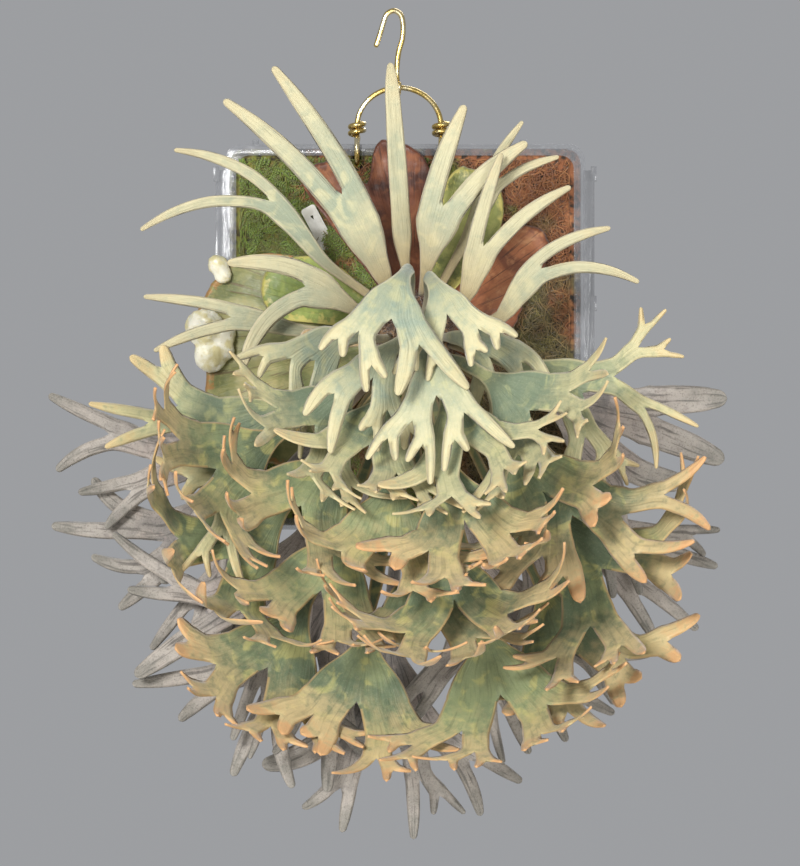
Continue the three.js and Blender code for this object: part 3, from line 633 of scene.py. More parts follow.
def shieldFinish(name, look):
    sockets = {"Coat Weight": look["coat"], "Coat Roughness": 0.4, "Sheen Weight": 0.15, "Sheen Roughness": 0.5}
    sheet = Finish(name, sockets)
    edge, reach, turn = (sheet.value(key) for key in ("edge", "reach", "turn"))
    patches, mottle = sheet.grain(24, 4, 0.6, twist=0.6), sheet.grain(4, 4, 0.6)
    lines = sheet.grain(1, 3, 0.6, sheet.stretched(turn, sheet.times(reach, 0.035), 0.0))
    low, middle, high = look["tones"]
    ragged = sheet.plus(edge, sheet.span(mottle, 0.3, 0.7, -3.5, 3.5))
    tones = ((middle, patches, 0.36, 0.52), (high, patches, 0.52, 0.68), (high, mottle, 0.5, 0.68, 0, 0.4))
    marks = ((look["vein"], lines, 0.54, 0.68, 0, 0.75), (look["edge"], ragged, 0.3, 4.5, 0.85, 0))
    colour = sheet.layers(low, *tones, *marks)
    height = sheet.plus(sheet.times(lines, 0.8), sheet.times(mottle, 0.5))
    return sheet.finish(colour, sheet.span(mottle, 0.35, 0.65, *look["rough"]), height, 0.8, 0.8)


def makeShield(name, look, outline, layer, wave, seed):
    sheet, random = shieldSheet, randomFrom(seed)
    rim = [[sheet["degree"] * azimuth, reach, 0, wave * random()] for azimuth, reach in outline]
    rim = evenSpline(rim, sheet["azimuthStep"])
    azimuth, reach, lift = rim[:, 0] / sheet["degree"], rim[:, 1], rim[:, 3]
    reach = reach - sheet["trim"]
    wide, narrow = sheet["scallops"]
    for i, angle in enumerate(azimuth):
        notch = sheet["notches"] * ripple(angle / narrow, seed, 5)
        reach[i] += look["scallop"] * ripple(angle / wide, seed, 0) + notch
    foot = sheet["feet"][layer]
    count = round((reach.max() - foot) / sheet["rowStep"])
    share = np.linspace(0, 1, count + 1)[:, None]
    a = np.radians(azimuth)[None]
    r = foot + (reach[None] - foot) * share
    x, z = crown.x + r * np.cos(a), crown.z + r * np.sin(a)
    y = shieldY(x, z, layer) - lift[None] * share
    edge = np.minimum(reach[None] - r, np.minimum(r * (a - a.min()), r * (a.max() - a)))
    (foldTurn, foldLength), (creaseTurn, creaseLength) = sheet["folds"], sheet["creases"]
    for i, k in np.ndindex(*y.shape):
        turn, out = azimuth[k], r[i, k]
        fold = ripple(turn / foldTurn, out / foldLength, seed)
        fold += 0.5 * ripple(turn / creaseTurn, out / creaseLength, seed + 3)
        fold += 0.5 * ripple(x[i, k] / sheet["puckers"], z[i, k] / sheet["puckers"], seed + 7)
        roll = look["curl"] * (1 - smooth(0, sheet["roll"], edge[i, k]))
        roll *= 0.5 + ripple(turn / sheet["rollTurn"], 0, seed + 11)
        y[i, k] += look["wrinkle"] * fold * smooth(0, sheet["flat"], out - foot) - roll
    places = np.stack((x, y, z), axis=-1)
    outward = unit(np.cross(np.gradient(places, axis=0), np.gradient(places, axis=1)))
    outward *= -np.sign(outward[..., 1:2] + 1e-9)
    points, faces, inner = sheetMesh(places, outward, sheet["thickness"])
    values = {"edge": edge, "reach": r, "turn": np.broadcast_to(azimuth[None], r.shape)}
    values = {key: np.concatenate((grid.ravel(), grid[inner])) for key, grid in values.items()}
    material = shieldFinish(f"{name}_sheet", look)
    makePiece(f"{name}_frond", points, faces, material, [f"shield_{name}"], values)


for shieldName, (look, outline, layer, wave, seed) in shields.items():
    makeShield(shieldName, look, outline, layer, wave, seed)
print("shields made")

# white, swollen new growth on the rim of the left shield
growthSettings = {
    "voxel": 0.9, "swell": 0.7, "lumps": 4.5, "white": (228, 224, 204), "cream": (206, 196, 150),
    "pit": (168, 146, 96),
}


def growthFinish(look):
    sockets = {"Subsurface Weight": 0.25, "Subsurface Scale": 0.004, "Coat Weight": 0.25, "Coat Roughness": 0.25}
    wax = Finish("waxy_new_growth", sockets)
    wax.put(wax.shader, {"Subsurface Radius": (1.0, 0.8, 0.5)})
    patches, dots = wax.grain(7, 4), wax.grain(1.6, 4, 0.6)
    pits = (look["pit"], dots, 0.6, 0.75, 0, 0.7)
    colour = wax.layers(look["white"], (look["cream"], patches, 0.42, 0.62), pits)
    return wax.finish(colour, wax.span(dots, 0.4, 0.7, 0.32, 0.55), dots, 0.4, 0.5)


def makeGrowth(name, settings, material):
    def swollen(place, normal):  # its back stays flat on the shield
        if normal[1] >= 0.3:
            return 0
        return settings["swell"] * (ripple(*place / settings["lumps"]) + 0.35 * ripple(*place))

    mesh, _, _ = roughened(f"new_growth_{name}", settings["voxel"], 7, swollen)
    showPiece(f"white_growth_{name}", mesh, material, [f"new_growth_{name}"])


waxyGrowth = growthFinish(growthSettings)
makeGrowth("large", growthSettings, waxyGrowth)
makeGrowth("small", growthSettings, waxyGrowth)

# the bare plant label: a thin plate with rounded corners and a hole. soilTop is where its soil fades, in metres
labelSettings = {
    "size": (8, 0.8, 34), "corner": 1.6, "cornerPoints": 9, "hole": 1.0, "holeDrop": 6, "place": (-37, -9.6, -116),
    "tilt": -28, "profile": ((0, -0.25), (0.03, -0.46), (0.1, -0.5), (0.95, -0.5), (0.99, -0.44), (1, -0.25)),
    "white": (238, 236, 228), "grey": (202, 198, 186), "soil": (120, 96, 62), "soilTop": (-0.13, -0.118),
}


def labelFinish(look):
    plastic = Finish("white_label_plastic", {"Coat Weight": 0.2, "Coat Roughness": 0.2, "IOR": 1.5})
    stain, scratch = plastic.grain(9, 4), plastic.grain(0.6, 3, 0.7)
    height = plastic.node("SeparateXYZ", {0: plastic.places}).outputs[2]
    dirt = plastic.plus(height, plastic.span(stain, 0.3, 0.7, -0.006, 0.006))
    soil = (look["soil"], dirt, *look["soilTop"], 0.6, 0)
    colour = plastic.layers(look["white"], (look["grey"], stain, 0.4, 0.65), soil)
    return plastic.finish(colour, plastic.span(scratch, 0.3, 0.7, 0.28, 0.5), scratch, 0.05, 0.4)


def makeLabel(settings):
    width, depth, height = settings["size"]
    corner = settings["corner"]
    rim = []
    for k, (sx, sz) in enumerate(((1, 1), (-1, 1), (-1, -1), (1, -1))):
        for a in np.radians(np.linspace(90 * k, 90 * k + 90, settings["cornerPoints"])):
            x, z = sx * (width / 2 - corner), sz * (height / 2 - corner)
            rim.append((x + corner * math.cos(a), z + corner * math.sin(a)))
    rim = np.array(rim)
    centre = np.array([0, height / 2 - settings["holeDrop"]])
    inner = centre + unit(rim - centre) * settings["hole"]
    loops = []  # from the hole's wall, over the front and round the rim, to the back
    for share, y in settings["profile"]:
        ringPoints = inner + (rim - inner) * share
        loops.append(np.stack((ringPoints[:, 0], np.full(len(rim), y * depth), ringPoints[:, 1]), axis=1))
    loops += [loop * (1, -1, 1) for loop in loops[::-1]]
    faces = ringFaces(len(loops), len(rim), closed=True)
    turned = Matrix.Rotation(math.radians(settings["tilt"]), 3, "Y")
    points = [turned @ Vector(p) + Vector(settings["place"]) for p in np.concatenate(loops)]
    makePiece("bare_label", points, faces, labelFinish(settings), ["plant_label"])


makeLabel(labelSettings)
print("new growth and label made")


# fronds: each grows as a strap that forks in two, and in two again, down to its lobes
class Tip:  # the growing end of a lobe: its place, the way it heads and the way its upper side looks
    def __init__(self, place, ahead, upper):
        self.place, self.ahead, self.upper = place.copy(), ahead.copy(), upper.copy()

    def side(self):
        return self.ahead.cross(self.upper)

    def rotate(self, axis, angle):
        turned = Matrix.Rotation(angle, 3, axis)
        self.ahead = (turned @ self.ahead).normalized()
        self.upper = turned @ self.upper
        self.upper = (self.upper - self.ahead * self.upper.dot(self.ahead)).normalized()

    def step(self, length, droop, curl, turn):  # droop is in radians for each millimetre
        axis = self.ahead.cross(down)
        slope = min(1, axis.length)
        if slope > 1e-6:
            self.rotate(axis.normalized(), min(droop * slope * length, math.asin(slope)))
        self.rotate(self.side(), math.radians(curl))
        self.rotate(self.upper, math.radians(-turn))
        self.place = self.place + self.ahead * length

    def rib(self, half):
        return [*self.place, *self.side(), *self.upper, half]


def heading(azimuth, rise):  # azimuth 0 right, 90 up, 180 left, 270 down, and rise towards the viewer
    a, e = math.radians(azimuth), math.radians(rise)
    ahead = Vector((math.cos(a) * math.cos(e), -math.sin(e), math.sin(a) * math.cos(e)))
    upper = Vector((-math.cos(a) * math.sin(e), -math.cos(e), -math.sin(a) * math.sin(e)))
    return Tip(crown, ahead, upper)


stalk = {
    "seat": 22.7, "widths": (4.4, 9), "pull": 0.4, "steps": 5, "swings": (0, 3, -3, 6, -6), "pushStep": 2.5,
    "nearEnough": 0.3,
}
lobeShape = {
    "share": 0.17, "early": 0.25, "earlyLength": 1.2, "widen": 1.12, "bend": 12, "lastBend": 42, "inwardBend": 0.4,
    "vary": 0.25, "bladeShares": (1, 0.24, 0.3, 0.3), "lastShares": (0, 0.76, 0.46, 0.32), "openings": (1, 0.85, 0.7),
    "lean": (0.65, 1.05), "inner": 0.4, "curlVary": 0.4, "openVary": 0.25, "spreadVary": 0.15, "widenVary": 0.1,
    "bladeCurl": 0.15, "strapEnd": 3,
}
bladeProfile = ((0.3, 0.25), (0.65, 0.7), (1, 1))
forkedProfiles = (((0.5, 0.1), (1, 1)), ((1, 1),))
tipProfile = ((0.35, 0.4), (0.75, 0.7), (1, 1))
fineTipProfile = ((0.35, 0.06), (0.75, 0.4), (1, 1))  # the fine lobes stay wide for longer
strapProfile = ((0.2, -0.1), (0.45, -0.1), (0.7, 0.1), (0.9, 0.45), (1, 1))
frondDefaults = {
    "width": 48, "spread": 30, "forks": 3, "curl": 45, "lean": 15, "droop": 0, "point": 0.34, "wild": 1, "turn": 0,
    "sweep": 0,
}


def seatOf(azimuth, elevation):
    seat = heading(azimuth, elevation)
    seat.place += seat.ahead * stalk["seat"]
    return seat


tipSplit = {
    "at": 0.42, "widen": 1.3, "point": 0.5, "turns": (9, 38), "shares": (0.58, 0.36), "shortCurl": 0.7,
    "least": 0.85, "vary": 0.3,
}


def splitTip(lobe, startWidth, draw):  # the end of a lobe forks once more, into a long finger and a short one
    def nearOne():
        return tipSplit["least"] + tipSplit["vary"] * draw()

    at = tipSplit["at"] * nearOne()
    endWidth = tipSplit["widen"] * startWidth
    base = {**lobe, "endWidth": endWidth}
    for key in ("length", "curl", "bend"):
        base[key] = at * lobe[key]
    shortSide = -1 if draw() < 0.5 else 1
    fingers = []
    for k in (-1, 1):
        short = int(k == shortSide)
        vary = nearOne()
        finger = {"turn": k * tipSplit["turns"][short] * vary, "bend": 0 if short else (1 - at) * lobe["bend"]}
        finger["length"] = tipSplit["shares"][short] * vary * lobe["length"]
        finger["curl"] = (1 - at) * lobe["curl"] * (tipSplit["shortCurl"] if short else 1)
        finger.update(endWidth=tipSplit["point"] * endWidth / 2, lobes=[])
        fingers.append(finger)
    base["lobes"] = fingers
    return base


def antlerTree(frond, splits=0):  # each lobe has the turn, length and end width it grows with, and 0 or 2 of its own
    random = randomFrom(frond["seed"])
    splitDraw = randomFrom(frond["seed"] + 5000)
    forks, wild, shape = frond["forks"], frond["wild"], lobeShape

    def vary(middle, share):
        return middle * (1 + share * (2 * random() - 1))

    def grow(level, turn, outward, startWidth):
        last = level >= forks or (level > 1 and random() < shape["early"])
        share = shape["share"]
        if last:
            share = shape["lastShares"][forks] * (shape["earlyLength"] if level < forks else 1)
        length = vary(share, shape["vary"] * wild) * frond["size"]
        endWidth = frond["point"] * startWidth if last else vary(shape["widen"], shape["widenVary"]) * startWidth
        drawn = (shape["lastBend"] if last else shape["bend"]) * wild * (2 * random() - 1)
        bend = drawn * (shape["inwardBend"] if drawn * turn < 0 else 1)
        bend += frond["sweep"] * (1 if last else shape["inner"])
        curl = vary((1 if last else shape["inner"]) * frond["curl"], shape["curlVary"] * wild)
        lobe = {"turn": turn, "bend": bend, "length": length, "endWidth": endWidth, "curl": curl, "lobes": []}
        if last:
            return splitTip(lobe, startWidth, splitDraw) if splitDraw() < splits else lobe
        opening = frond["spread"] * shape["openings"][level]
        turns = [k * vary(opening * shape["lean"][k == outward], shape["openVary"] * wild) for k in (-1, 1)]
        lobe["lobes"] = [grow(level + 1, t, outward, endWidth / 2) for t in turns]
        return lobe

    blade = {"turn": 0, "bend": 0, "length": shape["bladeShares"][forks] * frond["size"], "lobes": []}
    if forks == 0:
        return {**blade, "endWidth": shape["strapEnd"], "curl": frond["curl"], "bend": frond["sweep"]}
    blade.update(endWidth=frond["width"], curl=shape["bladeCurl"] * frond["curl"])
    for k in (-1, 1):
        turn = k * vary(frond["spread"], shape["spreadVary"] * wild)
        blade["lobes"].append(grow(1, turn, k, frond["width"] / 2))
    return blade


def growLobe(frond, tip, lobe, ribs, firstWidth, profile, level, fine):  # the lobe's ribs, and its lobes with theirs
    part = {"ribs": ribs, "ahead": None, "lobes": [], "level": level}
    if level > 0:
        part["ahead"] = tip.ahead.copy()
    grown, turn = 0, 0.5 * lobe["turn"] + lobe["bend"]
    tip.rotate(tip.upper, math.radians(-0.5 * lobe["turn"]))
    for share, change in profile:
        step = share - grown
        tip.step(lobe["length"] * step, frond["droop"], lobe["curl"] * step, turn * step)
        half = (firstWidth + (lobe["endWidth"] - firstWidth) * change) / 2
        ribs.append(tip.rib(half))
        grown = share
    for k, child in zip((-1, 1), lobe["lobes"]):
        start = Tip(tip.place + tip.side() * (k * lobe["endWidth"] / 4), tip.ahead, tip.upper)
        profile = fineTipProfile if fine else tipProfile
        if child["lobes"]:
            profile = forkedProfiles[min(level, 1)]
        first = [start.rib(lobe["endWidth"] / 4)]
        part["lobes"].append(growLobe(frond, start, child, first, lobe["endWidth"] / 2, profile, level + 1, fine))
    return part


def bezier(a, b, c, d, t):
    return a * (1 - t) ** 3 + b * (3 * t * (1 - t) ** 2) + c * (3 * t * t * (1 - t)) + d * t**3


def frondParts(frond, swing, splits=None):  # the ribs of a stalk and its blade, with split tips for the fine mesh
    seat = seatOf(frond["azimuth"], frond["elevation"])
    direction = frond["azimuth"] + swing
    blade = heading(direction + frond["turn"], frond["lean"])
    a = math.radians(direction)
    blade.place += Vector((frond["reach"] * math.cos(a), -frond["depth"], frond["reach"] * math.sin(a)))
    pull = stalk["pull"] * (blade.place - seat.place).length
    places = (seat.place, seat.place + seat.ahead * pull, blade.place - blade.ahead * pull, blade.place)
    startWidth, endWidth = stalk["widths"]
    ribs = [seat.rib(startWidth / 2)]
    for i in range(1, stalk["steps"] + 1):
        t = i / stalk["steps"]
        ahead = (bezier(*places, min(1, t + 1e-4)) - bezier(*places, min(1, t + 1e-4) - 2e-4)).normalized()
        if i == stalk["steps"]:
            ahead = blade.ahead.copy()
        tip = Tip(bezier(*places, t), ahead, seat.upper.lerp(blade.upper, smooth(0, 1, t)))
        tip.rotate(tip.ahead, 0)
        ribs.append(tip.rib((startWidth + (endWidth - startWidth) * t**3) / 2))
    profile = bladeProfile if frond["forks"] else strapProfile
    return growLobe(frond, blade, antlerTree(frond, splits or 0), ribs, endWidth, profile, 0, splits is not None)


def ribPoints(part):
    rows = np.array(part["ribs"])
    place, side, upper, half = rows[:, :3], rows[:, 3:6], rows[:, 6:9], rows[:, 9:]
    sets = [place + side * half * k + upper * n for k in (-1, 1) for n in (-0.5, 0.5)]
    return np.concatenate(sets + [ribPoints(child) for child in part["lobes"]])


def pushParts(part, push):  # the blade goes the whole way, and the stalk more and more of it from its seat on
    count = stalk["steps"] + 1
    for i, row in enumerate(part["ribs"]):
        share = smooth(0, 1, i / stalk["steps"]) if part["level"] == 0 and i < count else 1
        row[1] -= push * share
    for child in part["lobes"]:
        pushParts(child, push)


def settledParts(frond, splits):  # as the frond lies in the frame: swung to one side, and pushed towards the viewer
    low, high = (np.array(corner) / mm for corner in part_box(f"frond_{frond['name']}"))
    best = None
    for swing in stalk["swings"]:
        part = frondParts(frond, swing)
        points = ribPoints(part)
        fault = np.abs(points.min(0) - low)[[0, 2]].sum() + np.abs(points.max(0) - high)[[0, 2]].sum()
        if best is None or fault < best[0]:
            pushes = round((points[:, 1].min() - low[1]) / stalk["pushStep"])
            best = (fault, swing, stalk["pushStep"] * pushes)
    fault, swing, push = best
    part = frondParts(frond, swing, splits)
    pushParts(part, push)
    if fault > stalk["nearEnough"]:
        print("frond", frond["name"], "lies", round(fault, 2), "mm off its solid")
    return part


# the fine mesh of a frond, grown over those ribs row by row, from its seat to its tips
strapShape = {
    "step": 3.0, "stalkStep": 5.0, "edge": 1.7, "webShare": 0.5, "fade": 14, "seatThickness": 2.4, "bladeStart": 20,
    "waves": 3.2, "waveLength": 26, "thickTip": (3, 26), "capLeast": 0.7, "capShare": 0.4, "capTurns": (35, 62, 80),
}
leafValues = ("fan", "along", "edge", "toTip", "tone")


class Leaf:
    def __init__(self, frond, look):
        self.frond, self.look = frond, look
        self.points, self.faces = [], []
        self.values = {key: [] for key in leafValues}
        self.stalkLength = 0

    def sample(self, part):  # rows at any distance along the part
        rows = evenSpline(part["ribs"], 1.0, 1.0, part["ahead"])
        lengths = lengthsAlong(rows[:, :3])

        def at(distance):
            row = np.array([np.interp(distance, lengths, rows[:, c]) for c in range(10)])
            if distance > lengths[-1]:
                row[:3] += (rows[-1, :3] - rows[-2, :3]) / (lengths[-1] - lengths[-2]) * (distance - lengths[-1])
            side = unit(row[3:6])
            upper = unit(row[6:9] - side * row[6:9].dot(side))
            return row[:3], side, upper, row[9]

        return at, lengths[-1]

    def measure(self, part):  # the part's length, and how far it is from its start to the furthest tip
        part["at"], part["length"] = self.sample(part)
        part["reach"] = part["length"] + max([self.measure(child) for child in part["lobes"]], default=0)
        return part["reach"]

    def note(self, count, *numbers):  # what the leaf's finish reads at each new point
        for key, number in zip(leafValues, (*numbers, self.frond["tone"])):
            self.values[key] += [*np.broadcast_to(number, count)]

    # a row of points on both sides, cupped, waved and thinned towards its edges. carried is the lift of the row that
    # it grew from, which fades
    def addRow(self, places, uppers, u, edge, half, fan, along, toTip, carried, faded):
        shape, look, seed, count = strapShape, self.look, self.frond["seed"], len(u)
        blade = smooth(0.6 * self.stalkLength, self.stalkLength + shape["bladeStart"], along)
        ripples = [ripple(shape["waves"] * f, along / shape["waveLength"], seed) for f in fan]
        waves = np.array(ripples) * (0.35 + 0.65 * np.abs(u))
        own = blade * (look["cup"] * half * (u * u - 0.4) + look["wave"] * waves)
        lift = own if carried is None else carried * (1 - faded) + own * faded
        thick = shape["seatThickness"] + (look["thickness"] - shape["seatThickness"]) * blade
        thick += (look["tipThickness"] - look["thickness"]) * (1 - smooth(*shape["thickTip"], toTip)) * blade
        height = thick / 2 * np.sqrt(np.clip(edge / min(shape["edge"], max(half, 0.3)), 0, 1))
        middle = places + uppers * lift[:, None]
        top = list(range(len(self.points), len(self.points) + count))
        bottom = [top[0], *range(top[-1] + 1, top[-1] + count - 1), top[-1]]
        self.points += [*(middle + uppers * height[:, None]), *(middle - uppers * height[:, None])[1:-1]]
        self.note(2 * count - 2, [*fan, *fan[1:-1]], along, [*edge, *edge[1:-1]], toTip)
        return {"top": top, "bottom": bottom, "lift": lift}

    def face(self, *corners):  # without the corners that fall together
        kept = [c for i, c in enumerate(corners) if c != corners[i - 1]]
        if len(set(kept)) > 2:
            self.faces.append(kept)

    def join(self, a, b):  # the faces from a row to the next one, on both sides
        for i in range(len(a["top"]) - 1):
            self.face(a["top"][i], a["top"][i + 1], b["top"][i + 1], b["top"][i])
            self.face(a["bottom"][i + 1], a["bottom"][i], b["bottom"][i], b["bottom"][i + 1])
        for i in (0, -1):
            if a["top"][i] != a["bottom"][i]:
                self.face(a["top"][i], a["bottom"][i], b["top"][i])

    def strip(self, part, u, spot, narrow=1):  # a row of places across the part, and their upper sides
        place, side, upper, half = part["at"](spot)
        half = half * narrow
        return place + np.outer(u * half, side), np.repeat(upper[None], len(u), axis=0), half, side

    def grow(self, part, row, done, fan, along, carried):  # a part, from where its web ends to its fork or its tip
        u = np.linspace(-1, 1, len(fan))
        shape, length = strapShape, part["length"]
        last = not part["lobes"]
        cap = min(max(part["at"](length)[3], shape["capLeast"]), shape["capShare"] * (length - done)) if last else 0
        spots, start = [], done
        if row is None:  # the stalk is sampled more widely than the blade
            start = self.stalkLength
            spots = [*np.linspace(0, start, round(start / shape["stalkStep"]) + 1)]
        count = max(2, round((length - cap - start) / shape["step"]))
        spots += [*np.linspace(start, length - cap, count + 1)[1:]]
        turns = np.radians(shape["capTurns"]) if last else []
        ends = [(length - cap + cap * math.sin(a), math.cos(a)) for a in turns]
        for spot, narrow in [(spot, 1) for spot in spots] + ends:
            places, uppers, half, side = self.strip(part, u, spot, narrow)
            faded = smooth(0, shape["fade"], spot - done)
            edge, toTip = half * (1 - np.abs(u)), part["reach"] - spot
            made = self.addRow(places, uppers, u, edge, half, fan, along + spot, toTip, carried, faded)
            if row is None:
                for i in range(len(u) - 1):
                    self.face(made["top"][i], made["top"][i + 1], made["bottom"][i + 1], made["bottom"][i])
            else:
                self.join(row, made)
            row = made
        if not last:
            self.fork(part, row, fan, along + length)
            return
        place, side, upper, half = part["at"](length)
        end = len(self.points)
        self.points.append(place + upper * row["lift"].mean())
        self.note(1, fan.mean(), along + length, 0, 0)
        for i in range(len(u) - 1):
            self.face(row["top"][i], row["top"][i + 1], end)
            self.face(row["bottom"][i + 1], row["bottom"][i], end)

    def fork(self, part, row, fan, along):  # the two lobes stay joined by a web until they stand apart
        first, second = part["lobes"]
        half = len(fan) // 2
        u, across = np.linspace(-1, 1, half + 1), np.linspace(-1, 1, len(fan))
        done, step = 0, strapShape["step"]
        limit = strapShape["webShare"] * min(first["length"], second["length"])
        while done + step < limit:
            spot = done + step
            left, right = self.strip(first, u, spot), self.strip(second, u, spot)
            apart = (right[0][0] - left[0][-1]).dot(unit(left[3] + right[3]))
            if apart > self.look["web"]:
                break
            places, uppers = self.joined(left[0], right[0]), unit(self.joined(left[1], right[1]))
            edge = self.joined(left[2] * (1 + u), right[2] * (1 - u))
            toTip = max(first["reach"], second["reach"]) - spot
            whole = left[2] + right[2]
            made = self.addRow(places, uppers, across, edge, whole, fan, along + spot, toTip, None, 1)
            self.join(row, made)
            row, done = made, spot
        for child, own in ((first, slice(0, half + 1)), (second, slice(half, None))):
            start = {key: row[key][own] for key in ("top", "bottom")}
            self.grow(child, start, done, fan[own], along, row["lift"][own])

    def joined(self, a, b):  # two rows as one, with a shared place in its middle
        return np.concatenate((a[:-1], (a[-1:] + b[:1]) / 2, b[1:]))


def makeFrond(frond, look, material):
    part = settledParts(frond, look["splits"])
    leaf = Leaf(frond, look)
    leaf.measure(part)
    rows = evenSpline(part["ribs"][: stalk["steps"] + 1], 1.0)
    leaf.stalkLength = lengthsAlong(rows[:, :3])[-1]
    columns = 4 * 2 ** max(frond["forks"], 1)
    leaf.grow(part, None, 0, np.linspace(0, 1, columns + 1), 0, None)
    name = frond["name"]
    makePiece(f"antler_{name}", leaf.points, leaf.faces, material, [f"frond_{name}"], leaf.values)
    return len(leaf.faces)


# each tier's lobe colour is painted light: the lobes are made paler towards their ends, as if lit from the front
# how each tier is finished. lobes and tips: how far from its end a lobe takes the lobe's and the tip's colour
# each tier's darkest colour is painted shade: it darkens the blades' insides, away from the tips, as if in shadow
frondLook = {
    "slot": "green_frond", "cup": 0.055, "wave": 0.8, "web": 2.2, "thickness": 0.95, "tipThickness": 1.4,
    "splits": 0.62, "paintedShade": (88, 102, 76), "blade": (126, 136, 96), "blotch": (172, 168, 104), "blotches": 0.7,
    "lobe": (206, 182, 134), "lobes": (20, 74), "tip": (216, 158, 106), "tips": (0, 22), "tipShare": 0.62,
    "stem": (130, 108, 70), "margin": (206, 168, 112), "marginShare": 0.6, "felt": (176, 174, 146),
    "feltShare": 0.12, "vein": (70, 74, 50), "veins": 30, "veinShare": 0.26, "rough": (0.48, 0.66), "sheen": 0.2,
}
frondLooks = {
    "old": {
        **frondLook, "slot": "old_frond", "paintedShade": (124, 118, 114), "blade": (172, 160, 152),
        "blotch": (190, 174, 164), "blotches": 0.6, "lobe": (184, 176, 166), "tip": (104, 104, 96),
        "margin": (196, 184, 170), "felt": (58, 56, 50), "feltShare": 0.45, "vein": (62, 60, 56),
        "veinShare": 0.6, "tipThickness": 1.0, "tips": (0, 26), "marginShare": 0.5, "splits": 0.2,
    },
    "low": {**frondLook, "lobes": (20, 72)},
    "under": frondLook,
    "middle": {**frondLook, "tip": (216, 154, 102), "tipThickness": 1.7},
    "upper": {
        **frondLook, "paintedShade": (110, 124, 100), "blade": (146, 152, 116), "blotch": (182, 182, 128),
        "lobe": (200, 190, 144), "lobes": (16, 66), "tip": (206, 176, 124), "margin": (212, 198, 154),
        "felt": (206, 204, 184), "veinShare": 0.22, "vein": (92, 102, 78), "splits": 0.6,
    },
    "young": {
        **frondLook, "slot": "young_frond", "paintedShade": (136, 150, 132), "blade": (162, 166, 136),
        "blotch": (184, 182, 138), "lobe": (196, 188, 146), "lobes": (12, 50), "tip": (202, 188, 144),
        "margin": (208, 198, 160), "felt": (212, 208, 188), "veinShare": 0.18, "vein": (132, 140, 118),
        "stem": (160, 142, 100), "sheen": 0.25, "splits": 0.6,
    },
    "upright": {
        **frondLook, "slot": "upright_frond", "paintedShade": (152, 160, 136), "blade": (184, 180, 146),
        "blotch": (200, 194, 152), "lobe": (202, 194, 156), "tip": (208, 192, 150), "margin": (218, 204, 164),
        "felt": (220, 214, 190), "veinShare": 0.2, "vein": (146, 142, 114), "stem": (172, 148, 104),
        "sheen": 0.25, "cup": 0.09, "splits": 0,
    },
}


def leafFinish(name, look):
    leaf = Finish(name, {"Sheen Weight": look["sheen"], "Sheen Roughness": 0.45, "Specular IOR Level": 0.4})
    fan, along, edge, toTip, tone = (leaf.value(key) for key in leafValues)
    cloud, blots = leaf.grain(30, 4, 0.6, twist=0.4), leaf.grain(11, 3, 0.5, twist=1)
    mottle, felt = leaf.grain(5.5, 4, 0.6), leaf.grain(0.9, 3, 0.7)
    fanned = leaf.stretched(leaf.times(fan, look["veins"]), leaf.times(along, 0.045), tone)
    veins = leaf.grain(1, 2, 0.5, fanned)
    shaded = leaf.plus(cloud, leaf.span(tone, 0, 1, -0.09, 0.09))
    ragged = leaf.plus(toTip, leaf.span(mottle, 0.25, 0.75, -9, 9))
    colour = leaf.layers(
        # the first colour is painted shade over the blade's inside
        look["paintedShade"],
        (look["blade"], shaded, 0.38, 0.6),
        (look["blotch"], blots, 0.5, 0.68, 0, look["blotches"]),
        # painted light: the lobes grow paler towards each end
        (look["lobe"], ragged, *look["lobes"], 0.8, 0),
        # mottled patches of the same painted shade
        (look["paintedShade"], mottle, 0.52, 0.7, 0, 0.35),
        (look["vein"], veins, 0.52, 0.66, 0, look["veinShare"]),
        (look["margin"], edge, 0.3, 1.7, look["marginShare"], 0),
        (look["tip"], ragged, *look["tips"], look["tipShare"], 0),
        (look["felt"], felt, 0.5, 0.7, 0, look["feltShare"]),
        (look["stem"], along, 8, 55, 0.7, 0),
    )
    height = leaf.plus(leaf.times(veins, 0.9), leaf.times(mottle, 0.5))
    height = leaf.plus(height, leaf.times(felt, 0.12))
    return leaf.finish(colour, leaf.span(mottle, 0.3, 0.7, *look["rough"]), height, 1.0, 0.75)


